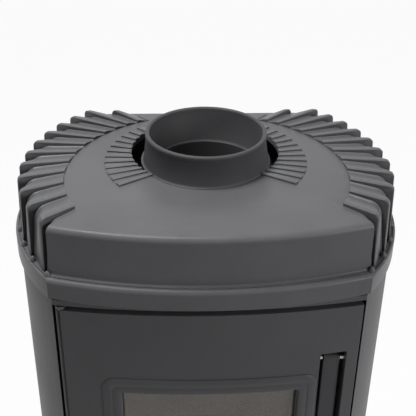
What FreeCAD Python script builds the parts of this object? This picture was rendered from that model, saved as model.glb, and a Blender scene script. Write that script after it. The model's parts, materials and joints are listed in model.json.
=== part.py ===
"""Free-standing cast-iron wood stove with a D-shaped plan, built piece by piece.

Frame: +Z up, the front of the stove faces -Y, +X is the stove's left-to-right as seen from the front.
The origin is on the floor, under the middle of the stove's bounding box.
"""
import FreeCAD, Part
import Sketcher
import math
import os
import re

DOC = FreeCAD.newDocument("stove")

# ---------------------------------------------------------------- driving sizes (mm, degrees, counts)
SIZES = [
    ("stove_height", 880, "floor to the top face of the cover plate"),
    ("front_reach", 215, "flue axis to the front face of the flange"),
    ("rear_reach", 152, "flue axis to the rear face of the cover"),
    ("side_radius", 251, "outer radius of the curved side panels"),
    ("side_offset", 22, "centre of the side curves, in front of the flue axis"),
    ("front_radius", 650, "radius of the bowed front at the flange"),
    ("side_lip", 4, "how far the flanges stand out from the side panels"),
    ("front_lip", 3, "front corners of the side panels behind the bow of the flanges"),
    ("face_radius", 1058, "radius of the flatter front of door, drawer and apron"),
    ("face_setback", 11, "middle of that front behind the front of the flanges"),
    ("rail_height", 8, "rail between the cover and the door"),
    ("cast_wall", 8, "wall of the large castings"),
    ("seat_gap", 0.3, "gap between pieces that seat on each other"),
    ("plate_thick", 8, "cover plate"),
    ("frieze_depth", 66, "cover plate down to the flange"),
    ("frieze_setback", 12, "front face of the frieze behind the flange"),
    ("frieze_round", 8, "rounding of the front top edge of the cover"),
    ("flange_height", 28, "height of the flange under the frieze"),
    ("flange_round", 6, "rounding of the upper edge of the flange"),
    ("fin_count", 12, "fins in each outer fan"),
    ("fin_first", 40.5, "direction of the rearmost fin, degrees from the side"),
    ("fin_pitch", 7.82, "degrees from fin to fin"),
    ("fan_offset", 36, "point that the outer fins radiate from, behind the flue axis"),
    ("fan_inner_radius", 185.5, "circle on which the outer fins begin"),
    ("fan_inner_offset", 42, "centre of that circle, in front of the flue axis"),
    ("fin_valley", 17, "valley between fins, inside the edge of the flange"),
    ("fin_tip", 9, "fin tips, inside the edge of the flange"),
    ("fin_rise_inner", 4, "height of a fin above the plate at its inner end"),
    ("fin_rise_outer", 7, "height of a fin above the plate at its tip"),
    ("fin_bevel", 6, "bevel of a fin's upper corner"),
    ("valley_bevel", 16, "bevel of the valley over the shoulder"),
    ("tooth_count", 12, "small teeth in each inner fan"),
    ("tooth_first", 45, "direction of the rearmost tooth, degrees from the side"),
    ("tooth_pitch", 7.2, "degrees from tooth to tooth"),
    ("tooth_reach", 34, "circle on which the teeth end, outside the opening's radius"),
    ("tooth_rise", 3, "height of a tooth above the plate"),
    ("pit_clear", 18, "convection opening beyond the foot of the collar"),
    ("pit_offset", 25, "centre of that opening, behind the flue axis"),
    ("collar_height", 42, "flue collar above the plate"),
    ("flue_radius", 75, "bore that takes the flue pipe"),
    ("flue_socket", 49, "depth of that bore"),
    ("flue_ledge", 5, "ledge at the bottom of the socket, for the pipe's end"),
    ("collar_wall", 6, "collar at the rim"),
    ("collar_foot_wall", 9, "collar at plate level"),
    ("collar_bead", 1.5, "rim of the collar beyond the wall under it"),
    ("collar_bead_height", 5, "rim of the collar"),
    ("collar_bead_slope", 2, "slope under that rim"),
    ("collar_flange_width", 16, "bolting flange of the collar"),
    ("collar_flange_thick", 8, "bolting flange of the collar"),
    ("collar_rounding", 2, "rounded rim of the collar"),
    ("collar_bolt_out", 8.2, "collar bolts outside the foot of the collar"),
    ("collar_bolt_radius", 4, "collar bolts"),
    ("collar_bolt_head", 7.2, "hexagon heads, across corners / 2"),
    ("collar_bolt_head_height", 4.8, "heads of the collar bolts"),
    ("collar_bolt_count", 4, "collar bolts"),
    ("tight_fit", 0.05, "radial play of bolts, screws and fixed pins"),
    ("door_gap", 7, "gap above and below door and drawer"),
    ("door_side_gap", 3, "gap beside door and drawer"),
    ("door_height", 471, "door"),
    ("door_rim", 8, "rims of the hollow front castings"),
    ("door_corner", 5, "rounding of the door's hinge edge"),
    ("hinge_post", 14, "solid edge of the door that takes the hinge pins"),
    ("hinge_inset", 7, "hinge axis inside the edge of the door"),
    ("hinge_depth", 3.5, "hinge axis behind the front edge of the door"),
    ("hinge_pin_radius", 4, "hinge pins"),
    ("hinge_pin_reach", 24, "how far a hinge pin enters the door"),
    ("hinge_clearance", 0.1, "radial running clearance of pins"),
    ("hinge_plate_thick", 4, "hinge brackets"),
    ("hinge_eye_radius", 6.4, "eyes of the hinge brackets"),
    ("hinge_plate_reach", 8, "hinge brackets, hinge axis to their inner edge"),
    ("frame_setback", 22.5, "corner of the front back to the front face of the front frame"),
    ("frame_thick", 8, "front frame"),
    ("seal_gap", 3, "closed door to front frame"),
    ("window_half", 114, "half the width of the window"),
    ("window_drop", 126, "door's top edge down to the window"),
    ("window_sill", 50, "door's bottom edge up to the window"),
    ("seal_land", 12, "rib for the rope seal, beyond the window, at the sides"),
    ("seal_land_high", 21, "rib for the rope seal, beyond the window, above and below"),
    ("seal_rib", 14, "width of the rib for the rope seal"),
    ("rope_radius", 4.3, "rope seal"),
    ("rope_play", 0.2, "rope seal in its groove"),
    ("glass_thick", 4, "curved ceramic glass"),
    ("glass_overlap", 8, "glass beyond the window on each side"),
    ("gasket_thick", 1.5, "flat gasket between glass and door"),
    ("retainer_thick", 3, "glass retainer"),
    ("retainer_lap", 1, "retainer inside the rope rib"),
    ("glass_screw_radius", 2.5, "glass screws"),
    ("glass_screw_tip", 1, "glass screws beyond the retainer"),
    ("glass_head_radius", 4.5, "heads of the glass screws"),
    ("glass_head_height", 2.5, "heads of the glass screws"),
    ("glass_screw_share", 0.8, "outer glass screws, as a share of the window's half width"),
    ("pocket_edge", 16, "door's edge to the handle pocket"),
    ("pocket_width", 34, "handle pocket"),
    ("pocket_drop", 71.5, "door's top edge down to the pocket"),
    ("pocket_height", 150, "handle pocket"),
    ("pocket_wall", 4, "walls of the handle pocket"),
    ("lever_width", 22, "handle lever"),
    ("lever_thick", 9, "handle lever"),
    ("lever_length", 118, "handle lever below its pivot"),
    ("lever_pivot_drop", 17, "pocket's top down to the lever's pivot"),
    ("lever_pivot_back", 36, "front of the flanges back to the pivot of the lever"),
    ("lever_pin_radius", 3, "pivot pin of the lever"),
    ("hook_reach", 17, "lever's hook behind its pivot"),
    ("hub_wall", 1.5, "lever's hub beyond the bar"),
    ("keeper_thick", 3, "keeper for the lever's hook"),
    ("keeper_space", 1, "keeper's lip in front of the hook"),
    ("hook_clear", 0.6, "keeper above the hook when the lever is released"),
    ("hook_thick", 5, "lever's hook"),
    ("hook_width", 12, "lever's hook"),
    ("hook_rise", 7, "upturned end of the hook"),
    ("drawer_height", 115, "ash drawer front"),
    ("pan_half", 130, "half the width of the ash pan"),
    ("pan_depth", 240, "ash pan from front to back"),
    ("pan_height", 80, "ash pan"),
    ("pan_wall", 2, "ash pan"),
    ("pan_lift", 12, "ash pan above the drawer front's lower edge"),
    ("pan_play", 5, "pan to the edge of its opening"),
    ("runner_thick", 3, "runners under and beside the ash pan"),
    ("drawer_rib", 96, "ribs that carry the ash pan, from the middle"),
    ("grip_radius", 26, "finger recess in the drawer front"),
    ("air_slot_half", 50, "half the length of the slot for the air knob"),
    ("air_slot_height", 12, "slot for the air knob, and ports behind it"),
    ("air_port_near", 10, "inner end of each air port, from the middle"),
    ("air_slot_rise", 38, "slot above the lower edge of the apron"),
    ("air_travel", 30, "air slide to each side"),
    ("air_knob_radius", 5, "air knob"),
    ("air_knob_length", 10, "air knob"),
    ("air_stem_radius", 4, "stem of the air knob"),
    ("air_plate_half", 80, "half the length of the air slide"),
    ("air_plate_height", 44, "air slide"),
    ("air_plate_thick", 4, "air slide"),
    ("air_rail_height", 5, "rails above and below the air slide"),
    ("base_thick", 12, "base plate"),
    ("plinth_height", 60, "plinth"),
    ("plinth_setback", 14, "plinth behind the edge of the base plate"),
    ("plinth_wall", 10, "plinth"),
    ("foot_gap", 12, "floor to plinth"),
    ("foot_radius", 20, "levelling feet"),
    ("foot_disc", 8, "disc of a levelling foot"),
    ("foot_stem_radius", 5, "stem of a levelling foot"),
    ("foot_boss_radius", 13, "bosses for the levelling feet"),
    ("foot_web_half", 4, "ribs that tie those bosses to the plinth"),
    ("foot_half", 165, "levelling feet from the middle"),
    ("foot_front", 100, "front levelling feet, in front of the middle"),
    ("foot_rear", 135, "rear levelling feet, behind the middle"),
    ("rod_inset", 29, "tie rods inside the curve of the side panels"),
    ("rod_spread", 80, "tie rods in front of and behind the centre of that curve"),
    ("rod_radius", 4, "tie rods"),
    ("lug_radius", 14, "lugs of the cover for the tie rods"),
    ("lug_height", 16, "lugs of the cover for the tie rods"),
    ("nut_radius", 7.5, "tie rod nuts, across corners / 2"),
    ("nut_height", 7, "tie rod nuts"),
    ("box_corner_gap", 1.8, "rear corners of the inner steel body inside the cover's wall"),
    ("box_rear_gap", 37.5, "back of the inner steel body to the rear of the stove"),
    ("box_wall", 5, "inner steel body"),
    ("box_top_thick", 6, "top plate of the inner steel body"),
    ("box_top_drop", 66, "cover plate down to the inner top plate's underside"),
    ("hearth_thick", 12, "hearth plate"),
    ("hearth_drop", 4, "hearth face below the firebox opening"),
    ("ledge_width", 12, "ledge that carries the hearth plate"),
    ("ledge_thick", 6, "ledge that carries the hearth plate"),
    ("grate_size", 160, "square fire grate"),
    ("grate_thick", 6, "fire grate"),
    ("grate_margin", 6, "grate's seat in the hearth"),
    ("grate_slot", 8, "slots of the grate"),
    ("grate_bar", 8, "bars of the grate"),
    ("grate_slot_count", 9, "slots of the grate"),
    ("brick_thick", 25, "firebricks"),
    ("brick_height", 360, "firebricks"),
    ("baffle_thick", 22, "baffle board"),
    ("baffle_throat", 50, "smoke gap in front of the baffle"),
    ("guard_height", 42, "log guard"),
    ("guard_thick", 6, "log guard"),
    ("guard_half", 140, "half the width of the log guard"),
    ("opening_inset", 9, "firebox opening inside the rope seal"),
    ("back_plate_inset", 15.5, "rear face of the back plate to the rear of the stove"),
    ("shield_gap", 10, "back plate to heat shield"),
    ("shield_thick", 2, "heat shield"),
    ("shield_half", 150, "half the width of the heat shield"),
    ("shield_rise", 121, "heat shield above the base plate"),
    ("shield_drop", 11, "heat shield below the cover"),
    ("shield_screw_in", 25, "heat shield's screws from its edges"),
    ("spacer_radius", 8, "heat shield spacers"),
    ("shield_screw_radius", 3, "heat shield screws"),
    ("shield_head_radius", 6, "heads of those screws"),
    ("shield_head_height", 3, "heads of those screws"),
    ("spigot_radius", 50, "outside-air spigot"),
    ("spigot_neck", 1.5, "step of the spigot where it enters the back plate"),
    ("spigot_wall", 4, "outside-air spigot"),
    ("spigot_rise", 58, "axis of the outside-air spigot above the base plate"),
    ("overrun", 1, "how far a cutting tool runs past what it cuts"),
]

SHEET = DOC.addObject("Spreadsheet::Sheet", "sizes")
for row, (name, number, note) in enumerate(SIZES, start=1):
    SHEET.set(f"A{row}", name)
    SHEET.set(f"B{row}", str(number))
    SHEET.setAlias(f"B{row}", name)
    SHEET.set(f"C{row}", note)

# ---------------------------------------------------------------- places that follow from the sizes
PLACES = [
    ("flue_y", "(front_reach - rear_reach) / 2"),
    ("rear_y", "flue_y + rear_reach"),
    ("front_y", "flue_y - front_reach"),
    ("side_y", "flue_y - side_offset"),
    ("arc_y", "front_y + front_radius"),
    ("flange_side", "side_radius + side_lip"),
    ("face_y", "front_y + face_setback"),
    ("bow_y", "face_y + face_radius"),
    ("flange_top_z", "stove_height - frieze_depth"),
    ("flange_low_z", "flange_top_z - flange_height"),
    ("rail_low_z", "flange_low_z - rail_height"),
    ("door_high_z", "rail_low_z - door_gap"),
    ("door_low_z", "door_high_z - door_height"),
    ("curve_gap", "arc_y - side_y"),
    ("corner_bow", "front_radius - front_lip"),
    ("curve_step", "side_radius * side_radius - corner_bow * corner_bow"),
    ("corner_reach", "(curve_step + curve_gap * curve_gap) / (2 * curve_gap)"),
    ("corner_y", "side_y + corner_reach"),
    ("opening_half", "sqrt(side_radius * side_radius - corner_reach * corner_reach)"),
    ("drawer_high_z", "door_low_z - door_gap"),
    ("drawer_low_z", "drawer_high_z - drawer_height"),
    ("apron_high_z", "drawer_low_z - door_gap"),
    ("plinth_top_z", "foot_gap + plinth_height"),
    ("base_top_z", "plinth_top_z + base_thick"),
    ("door_half", "opening_half - door_side_gap"),
    ("edge_y", "bow_y - sqrt(face_radius * face_radius - door_half * door_half)"),
    ("frame_y", "corner_y + frame_setback"),
    ("frame_back_y", "frame_y + frame_thick"),
    ("door_back_y", "frame_y - seal_gap"),
    ("window_high_z", "door_high_z - window_drop"),
    ("window_low_z", "door_low_z + window_sill"),
    ("rib_half", "window_half + seal_land + seal_rib"),
    ("rib_high_z", "window_high_z + seal_land_high + seal_rib"),
    ("rib_low_z", "window_low_z - seal_land_high - seal_rib"),
    ("rope_half", "rib_half - seal_rib / 2"),
    ("rope_high_z", "rib_high_z - seal_rib / 2"),
    ("rope_low_z", "rib_low_z + seal_rib / 2"),
    ("rope_y", "frame_y - seat_gap - rope_radius"),
    ("glazing_radius", "face_radius - cast_wall - seat_gap / 2"),
    ("hinge_x", "-(door_half - hinge_inset)"),
    ("hinge_y", "edge_y + hinge_depth"),
    ("pocket_left", "door_half - pocket_edge - pocket_width"),
    ("pocket_mid", "pocket_left + pocket_width / 2"),
    ("pocket_high_z", "door_high_z - pocket_drop"),
    ("pocket_low_z", "pocket_high_z - pocket_height"),
    ("lever_y", "front_y + lever_pivot_back"),
    ("lever_z", "pocket_high_z - lever_pivot_drop"),
    ("hearth_top_z", "rope_low_z + opening_inset - hearth_drop"),
    ("hearth_low_z", "hearth_top_z - hearth_thick"),
    ("box_rear", "rear_y - box_rear_gap"),
    ("box_depth", "box_rear - side_y"),
    ("box_circle", "flange_side - fin_valley - cast_wall - box_corner_gap"),
    ("box_half", "sqrt(box_circle * box_circle - box_depth * box_depth)"),
    ("box_front_y", "frame_back_y + seat_gap"),
    ("box_high_z", "stove_height - box_top_drop - seat_gap"),
    ("box_top_z", "stove_height - box_top_drop + box_top_thick"),
    ("brick_high_z", "hearth_top_z + seat_gap + brick_height"),
    ("pan_low_z", "drawer_low_z + pan_lift"),
    ("air_z", "base_top_z + air_slot_rise"),
    ("back_plate_rear", "rear_y - back_plate_inset"),
    ("shield_y", "back_plate_rear + shield_gap"),
    ("shield_low", "base_top_z + shield_rise"),
    ("shield_high", "flange_low_z - shield_drop"),
    ("spigot_height", "base_top_z + spigot_rise"),
    ("collar_rim_radius", "flue_radius + collar_wall"),
    ("collar_foot_radius", "flue_radius + collar_foot_wall"),
    ("collar_flange_radius", "collar_foot_radius + collar_flange_width"),
    ("collar_bolt_circle", "collar_foot_radius + collar_bolt_out"),
    ("collar_flange_z", "box_top_z + seat_gap + collar_flange_thick"),
    ("flue_throat", "flue_radius - flue_ledge"),
    ("pit_radius", "collar_foot_radius + pit_clear"),
    ("tooth_outer_radius", "pit_radius + tooth_reach"),
    ("rod_circle", "side_radius - rod_inset"),
    ("rod_half", "sqrt(rod_circle * rod_circle - rod_spread * rod_spread)"),
    ("rod_front", "side_y - rod_spread"),
    ("rod_rear", "side_y + rod_spread"),
]

ALIASES = [name for name, number, note in SIZES]
PLACE_NAMES = [name for name, formula in PLACES]
P = DOC.addObject("App::VarSet", "places")


def formula(text):
    """Turn plain names into references to the sheet or to the derived places."""
    def reference(match):
        word = match.group(0)
        if word in ALIASES:
            return "sizes." + word
        if word in PLACE_NAMES:
            return "places." + word
        return word
    return re.sub(r"[a-z][a-z0-9_]*", reference, str(text))


GAUGE = DOC.addObject("App::VarSet", "gauge")
GAUGE.addProperty("App::PropertyFloat", "reading", "Gauge")
for name, text in PLACES:
    P.addProperty("App::PropertyFloat", name, "Places")
for name, text in PLACES:
    P.setExpression(name, formula(text))
DOC.recompute()


def size(name):
    """A driving size as a number, for the shapes that are worked out in code."""
    return float(SHEET.get(name))


# ---------------------------------------------------------------- small modelling vocabulary
PARTS = []


def bind(obj, **formulas):
    """Bind properties (Base_x stands for Placement.Base.x) to formulas on the sheet."""
    for prop, text in formulas.items():
        path = "Placement.Base." + prop[-1] if prop.startswith("Base_") else prop
        obj.setExpression(path, formula(text))
    return obj


def box(low, high):
    """A block between two corners; each coordinate is a formula."""
    obj = DOC.addObject("Part::Box", "block")
    bind(obj, Base_x=low[0], Base_y=low[1], Base_z=low[2],
         Length=f"({high[0]}) - ({low[0]})",
         Width=f"({high[1]}) - ({low[1]})",
         Height=f"({high[2]}) - ({low[2]})")
    return obj


def across(half, low, high):
    """A block that is symmetric about the middle plane; low and high are (y, z)."""
    return box((f"-({half})", low[0], low[1]), (half, high[0], high[1]))


def cylinder(radius, base, height, axis="z"):
    """A round bar; axis is x, y or z and the bar runs in the positive direction."""
    obj = DOC.addObject("Part::Cylinder", "bar")
    turn = {"x": FreeCAD.Rotation(FreeCAD.Vector(0, 1, 0), 90),
            "y": FreeCAD.Rotation(FreeCAD.Vector(1, 0, 0), -90),
            "z": FreeCAD.Rotation()}[axis]
    obj.Placement = FreeCAD.Placement(FreeCAD.Vector(), turn)
    bind(obj, Radius=radius, Height=height, Base_x=base[0], Base_y=base[1], Base_z=base[2])
    return obj


def hexagon(radius, base, height):
    """An upright hexagonal bar, for bolt heads and nuts."""
    obj = DOC.addObject("Part::Prism", "hexagon")
    obj.Polygon = 6
    bind(obj, Circumradius=radius, Height=height, Base_x=base[0], Base_y=base[1], Base_z=base[2])
    return obj


def ball(radius, centre):
    obj = DOC.addObject("Part::Sphere", "ball")
    bind(obj, Radius=radius, Base_x=centre[0], Base_y=centre[1], Base_z=centre[2])
    return obj


def fuse(*shapes):
    obj = DOC.addObject("Part::MultiFuse", "joined")
    obj.Shapes = list(shapes)
    return obj


def common(*shapes):
    obj = DOC.addObject("Part::MultiCommon", "shared")
    obj.Shapes = list(shapes)
    return obj


def cut(base, *tools):
    obj = DOC.addObject("Part::Cut", "trimmed")
    obj.Base = base
    obj.Tool = tools[0] if len(tools) == 1 else fuse(*tools)
    return obj


def fillet(base, radius, chosen):
    """Round the edges of base for which chosen(edge) is true."""
    DOC.recompute()
    obj = DOC.addObject("Part::Fillet", "rounded")
    obj.Base = base
    edges = [n for n, edge in enumerate(base.Shape.Edges, start=1) if chosen(edge)]
    obj.Edges = [(n, size(radius), size(radius)) for n in edges]
    return obj


def part(label, obj):
    """Name an object as one finished piece of the stove."""
    obj.Label = label
    PARTS.append(obj)
    return obj


def plan(inset_side, inset_front, inset_rear, low, high):
    """A block with the stove's D-shaped plan, its outline inset from the flange's."""
    side = cylinder(f"flange_side - ({inset_side})", ("0", "side_y", low), f"({high}) - ({low})")
    front = cylinder(f"front_radius - ({inset_front})", ("0", "arc_y", low), f"({high}) - ({low})")
    rear = across("flange_side", ("front_y", low), (f"rear_y - ({inset_rear})", high))
    return common(side, front, rear)


def bowed(outer, inner, half, low, high):
    """A sheet that follows the bow of the front, between two radii and two heights."""
    depth = f"({high}) - ({low})"
    skin = cut(cylinder(outer, ("0", "bow_y", low), depth),
               cylinder(inner, ("0", "bow_y", low), depth))
    return common(skin, across(half, ("front_y", low), ("frame_y", high)))


def polygon_sketch(body, plane, points):
    """A closed outline of straight lines, each corner bound to its own two formulas."""
    sketch = body.newObject("Sketcher::SketchObject", "outline")
    origin_plane = [f for f in body.Origin.OriginFeatures if f.Role == plane][0]
    sketch.AttachmentSupport = [(origin_plane, "")]
    sketch.MapMode = "FlatFace"
    numbers = [(measure(x), measure(y)) for x, y in points]
    count = len(points)
    for n in range(count):
        start = FreeCAD.Vector(*numbers[n], 0)
        end = FreeCAD.Vector(*numbers[(n + 1) % count], 0)
        sketch.addGeometry(Part.LineSegment(start, end), False)
    for n in range(count):
        sketch.addConstraint(Sketcher.Constraint("Coincident", n, 2, (n + 1) % count, 1))
    for n, (x, y) in enumerate(points):
        for kind, axis, text, number in (("DistanceX", -2, x, numbers[n][0]),
                                         ("DistanceY", -1, y, numbers[n][1])):
            if text == "0":
                sketch.addConstraint(Sketcher.Constraint("PointOnObject", n, 1, axis))
            else:
                index = sketch.addConstraint(Sketcher.Constraint(kind, -1, 1, n, 1, number))
                sketch.setExpression(f"Constraints[{index}]", formula(text))
    return sketch


def measure(text):
    """The number that a formula has now."""
    GAUGE.setExpression("reading", formula(text))
    GAUGE.recompute()
    return GAUGE.reading


def new_body(name, base=("0", "0", "0")):
    body = DOC.addObject("PartDesign::Body", name)
    bind(body, Base_x=base[0], Base_y=base[1], Base_z=base[2])
    return body


def turned(name, points, base):
    """A turned piece: a profile of (radius, height) corners, spun about the upright axis."""
    body = new_body(name, base)
    sketch = polygon_sketch(body, "XZ_Plane", points)
    spin = body.newObject("PartDesign::Revolution", "spin")
    spin.Profile = sketch
    spin.ReferenceAxis = (sketch, ["V_Axis"])
    spin.Angle = 360
    return body


def slab(name, points, thickness, base):
    """A flat piece: an outline in the level plane, padded upwards."""
    body = new_body(name, base)
    pad = body.newObject("PartDesign::Pad", "pad")
    pad.Profile = polygon_sketch(body, "XY_Plane", points)
    bind(pad, Length=thickness)
    return body


def pocket(body, points, depth):
    """Cut an outline on the level plane upwards into the body."""
    hole = body.newObject("PartDesign::Pocket", "pocket")
    hole.Profile = polygon_sketch(body, "XY_Plane", points)
    hole.Reversed = True
    bind(hole, Length=depth)
    return hole



# ---------------------------------------------------------------- cover
def fan_line(angle, offset, height):
    """A plumb plane through a fan's centre: maps (distance, height) to a point."""
    ray = FreeCAD.Vector(math.cos(angle), math.sin(angle), 0)
    centre = FreeCAD.Vector(0, P.flue_y + offset, height)
    return lambda distance, rise: centre + ray * distance + FreeCAD.Vector(0, 0, rise)


def reach_circle(angle, offset, centre_offset, radius):
    """Distance along a fan's ray to a circle; both offsets are measured from the flue axis."""
    shift = offset - centre_offset
    along = shift * math.sin(angle)
    return -along + math.sqrt(along * along - shift * shift + radius * radius)


def reach_rim(angle, inset):
    """Distance along an outer fin to the side of the cover, or to its flat rear."""
    side = reach_circle(angle, size("fan_offset"), -size("side_offset"), P.flange_side - inset)
    if math.sin(angle) <= 0:
        return side
    rear = (size("rear_reach") - size("fan_offset")) / math.sin(angle)
    return min(side, rear)


def wedge(valley, ridge):
    """A sawtooth step: a solid between two upright outlines with as many corners each."""
    wires = [Part.makePolygon(outline + outline[:1]) for outline in (valley, ridge)]
    return Part.makeLoft(wires, True, True)


def outer_outline(angle, inset, rise_in, rise_out, bevel):
    """The upright outline of a fin along one ray, from the plate over the shoulder to the flange."""
    at = fan_line(angle, size("fan_offset"), size("stove_height"))
    inner = reach_circle(angle, size("fan_offset"), -size("fan_inner_offset"),
                         size("fan_inner_radius"))
    outer = reach_rim(angle, inset)
    foot = -size("frieze_depth") - size("cast_wall") / 2
    root = size("valley_bevel") + size("cast_wall")
    return [at(inner, -root), at(inner, rise_in), at(outer - bevel, rise_out),
            at(outer, rise_out - bevel), at(outer, foot), at(outer - root, foot),
            at(outer - root, -root)]


def outer_fins():
    """Both outer fans: each fin climbs towards the front and ends in an upright step."""
    fins = []
    sunk = size("seat_gap")
    for number in range(int(size("fin_count"))):
        ridge = math.radians(size("fin_first") - number * size("fin_pitch"))
        valley = ridge + math.radians(size("fin_pitch"))
        fins.append(wedge(
            outer_outline(valley, size("fin_valley") + sunk, -sunk, -sunk, size("valley_bevel")),
            outer_outline(ridge, size("fin_tip"), size("fin_rise_inner"), size("fin_rise_outer"),
                          size("fin_bevel"))))
    return fins


def inner_outline(angle, rise):
    """The upright outline of a small tooth, from the convection opening outwards."""
    at = fan_line(angle, 0, size("stove_height"))
    inner = reach_circle(angle, 0, size("pit_offset"), P.pit_radius) - size("overrun")
    outer = P.tooth_outer_radius
    root = size("plate_thick") / 2
    return [at(inner, -root), at(inner, rise), at(outer, rise), at(outer, -root)]


def inner_teeth():
    """Both inner fans of small sawtooth steps."""
    teeth = []
    for number in range(int(size("tooth_count"))):
        ridge = math.radians(size("tooth_first") - number * size("tooth_pitch"))
        valley = ridge + math.radians(size("tooth_pitch"))
        teeth.append(wedge(inner_outline(valley, -size("seat_gap")),
                           inner_outline(ridge, size("tooth_rise"))))
    return teeth


def both_sides(shapes):
    """The shapes and their mirror images about the stove's middle plane."""
    mirrored = [shape.mirror(FreeCAD.Vector(), FreeCAD.Vector(1, 0, 0)) for shape in shapes]
    return shapes + mirrored


def cast_shape(name, shapes):
    """Sculpted solids that no primitive makes, as one object."""
    obj = DOC.addObject("Part::Feature", name)
    first, rest = shapes[0], shapes[1:]
    obj.Shape = first.multiFuse(rest) if rest else first
    return obj


def make_cover():
    """The ribbed top casting: plate, frieze, flange, both pairs of fans and the lugs."""
    flange = plan("0", "0", "0", "flange_low_z", "flange_top_z")
    flange = fillet(flange, "flange_round", on_upper_rim(P.flange_top_z))
    core = plan("fin_valley", "frieze_setback", "0", "flange_low_z", "stove_height")
    core = fillet(core, "frieze_round", on_front_edge(size("stove_height")))
    corner = common(plan("fin_tip + overrun", "frieze_setback", "0", "flange_low_z",
                         "stove_height - valley_bevel"),
                    across("flange_side", ("front_y", "flange_low_z"),
                           ("frame_y - fin_tip", "stove_height")))
    fins = cast_shape("fins", both_sides(outer_fins()))
    teeth = cast_shape("teeth", both_sides(inner_teeth()))
    hollow = plan("fin_valley + cast_wall", "frieze_setback + cast_wall", "cast_wall",
                  "flange_low_z - overrun", "stove_height - plate_thick")
    pit = cylinder("pit_radius",
                   ("0", "flue_y + pit_offset", "stove_height - plate_thick - overrun"),
                   "plate_thick + tooth_rise + 2 * overrun")
    neck = cylinder("collar_foot_radius + seat_gap", ("0", "flue_y", "box_top_z"),
                    "stove_height - box_top_z + tooth_rise + overrun")
    shell = cut(fuse(flange, core, corner, fins, teeth), hollow, pit, neck)
    lugs = [cylinder("lug_radius", (x, y, "flange_low_z"), "lug_height") for x, y in rod_places()]
    bores = [cylinder("rod_radius + seat_gap", (x, y, "flange_low_z - overrun"),
                      "lug_height + 2 * overrun")
             for x, y in rod_places()]
    part("top_cover", cut(fuse(shell, *lugs), *bores))


def on_upper_rim(height):
    """Edges that lie all along one height, the rear one left out."""
    def chosen(edge):
        box_of = edge.BoundBox
        flat = abs(box_of.ZMin - height) < 0.01 and abs(box_of.ZMax - height) < 0.01
        return flat and box_of.YMin < P.rear_y - 1
    return chosen


def on_front_edge(height):
    """The bowed front edge at one height."""
    def chosen(edge):
        box_of = edge.BoundBox
        flat = abs(box_of.ZMin - height) < 0.01 and abs(box_of.ZMax - height) < 0.01
        return flat and box_of.YMax < P.frame_y and box_of.XLength > P.opening_half
    return chosen


def rod_places():
    return [(side + "rod_half", y) for side in ("", "-") for y in ("rod_front", "rod_rear")]


# ---------------------------------------------------------------- flue
def make_collar():
    depth = "stove_height - box_top_z - seat_gap"
    height = f"({depth}) + collar_height"
    body = turned("collar_body", [
        ("flue_throat", "0"),
        ("collar_flange_radius", "0"),
        ("collar_flange_radius", "collar_flange_thick"),
        ("collar_foot_radius", "collar_flange_thick"),
        ("collar_foot_radius", depth),
        ("collar_rim_radius - collar_bead", f"({height}) - collar_bead_height - collar_bead_slope"),
        ("collar_rim_radius", f"({height}) - collar_bead_height"),
        ("collar_rim_radius", height),
        ("flue_radius", height),
        ("flue_radius", f"({height}) - flue_socket"),
        ("flue_throat", f"({height}) - flue_socket"),
    ], ("0", "flue_y", "box_top_z + seat_gap"))
    DOC.recompute()
    spin = body.Tip
    rim = [f"Edge{n}" for n, edge in enumerate(spin.Shape.Edges, start=1)
           if edge.BoundBox.ZLength < 0.01 and edge.BoundBox.ZMin > spin.Shape.BoundBox.ZMax - 0.01]
    rounding = body.newObject("PartDesign::Fillet", "rim_rounding")
    rounding.Base = (spin, rim)
    bind(rounding, Radius="collar_rounding")
    under_z = "box_top_z - box_top_thick"
    holes = [cylinder("collar_bolt_radius + seat_gap", (x, y, "box_top_z"),
                      "collar_flange_thick + overrun") for x, y in bolt_places()]
    part("flue_collar", cut(body, *holes))
    bolts = []
    for x, y in bolt_places():
        shank = cylinder("collar_bolt_radius", (x, y, under_z), f"collar_flange_z - ({under_z})")
        head = hexagon("collar_bolt_head", (x, y, "collar_flange_z"), "collar_bolt_head_height")
        bolts.append(fuse(shank, head))
    part("collar_bolts", fuse(*bolts))
    through = "box_top_thick + 2 * overrun"
    flue_hole = cylinder("flue_throat", ("0", "flue_y", f"{under_z} - overrun"), through)
    threads = [cylinder("collar_bolt_radius + tight_fit", (x, y, f"{under_z} - overrun"), through)
               for x, y in bolt_places()]
    plate = box(("-box_half", "box_front_y", under_z), ("box_half", "box_rear", "box_top_z"))
    part("firebox_top", cut(plate, flue_hole, *threads))


def bolt_places():
    places = []
    for number in range(int(size("collar_bolt_count"))):
        angle = f"45 + {number} * 360 / collar_bolt_count"
        places.append((f"collar_bolt_circle * cos({angle})",
                       f"flue_y + collar_bolt_circle * sin({angle})"))
    return places


# ---------------------------------------------------------------- outer body
def make_sides():
    height = "flange_low_z - base_top_z"
    for label, low, high in (("right_side", "opening_half", "flange_side"),
                             ("left_side", "-flange_side", "-opening_half")):
        ring = cut(cylinder("side_radius", ("0", "side_y", "base_top_z"), height),
                   cylinder("side_radius - cast_wall", ("0", "side_y", "base_top_z"), height))
        half = box((low, "front_y", "base_top_z"), (high, "rear_y", "flange_low_z"))
        part(label, common(ring, half))


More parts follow.
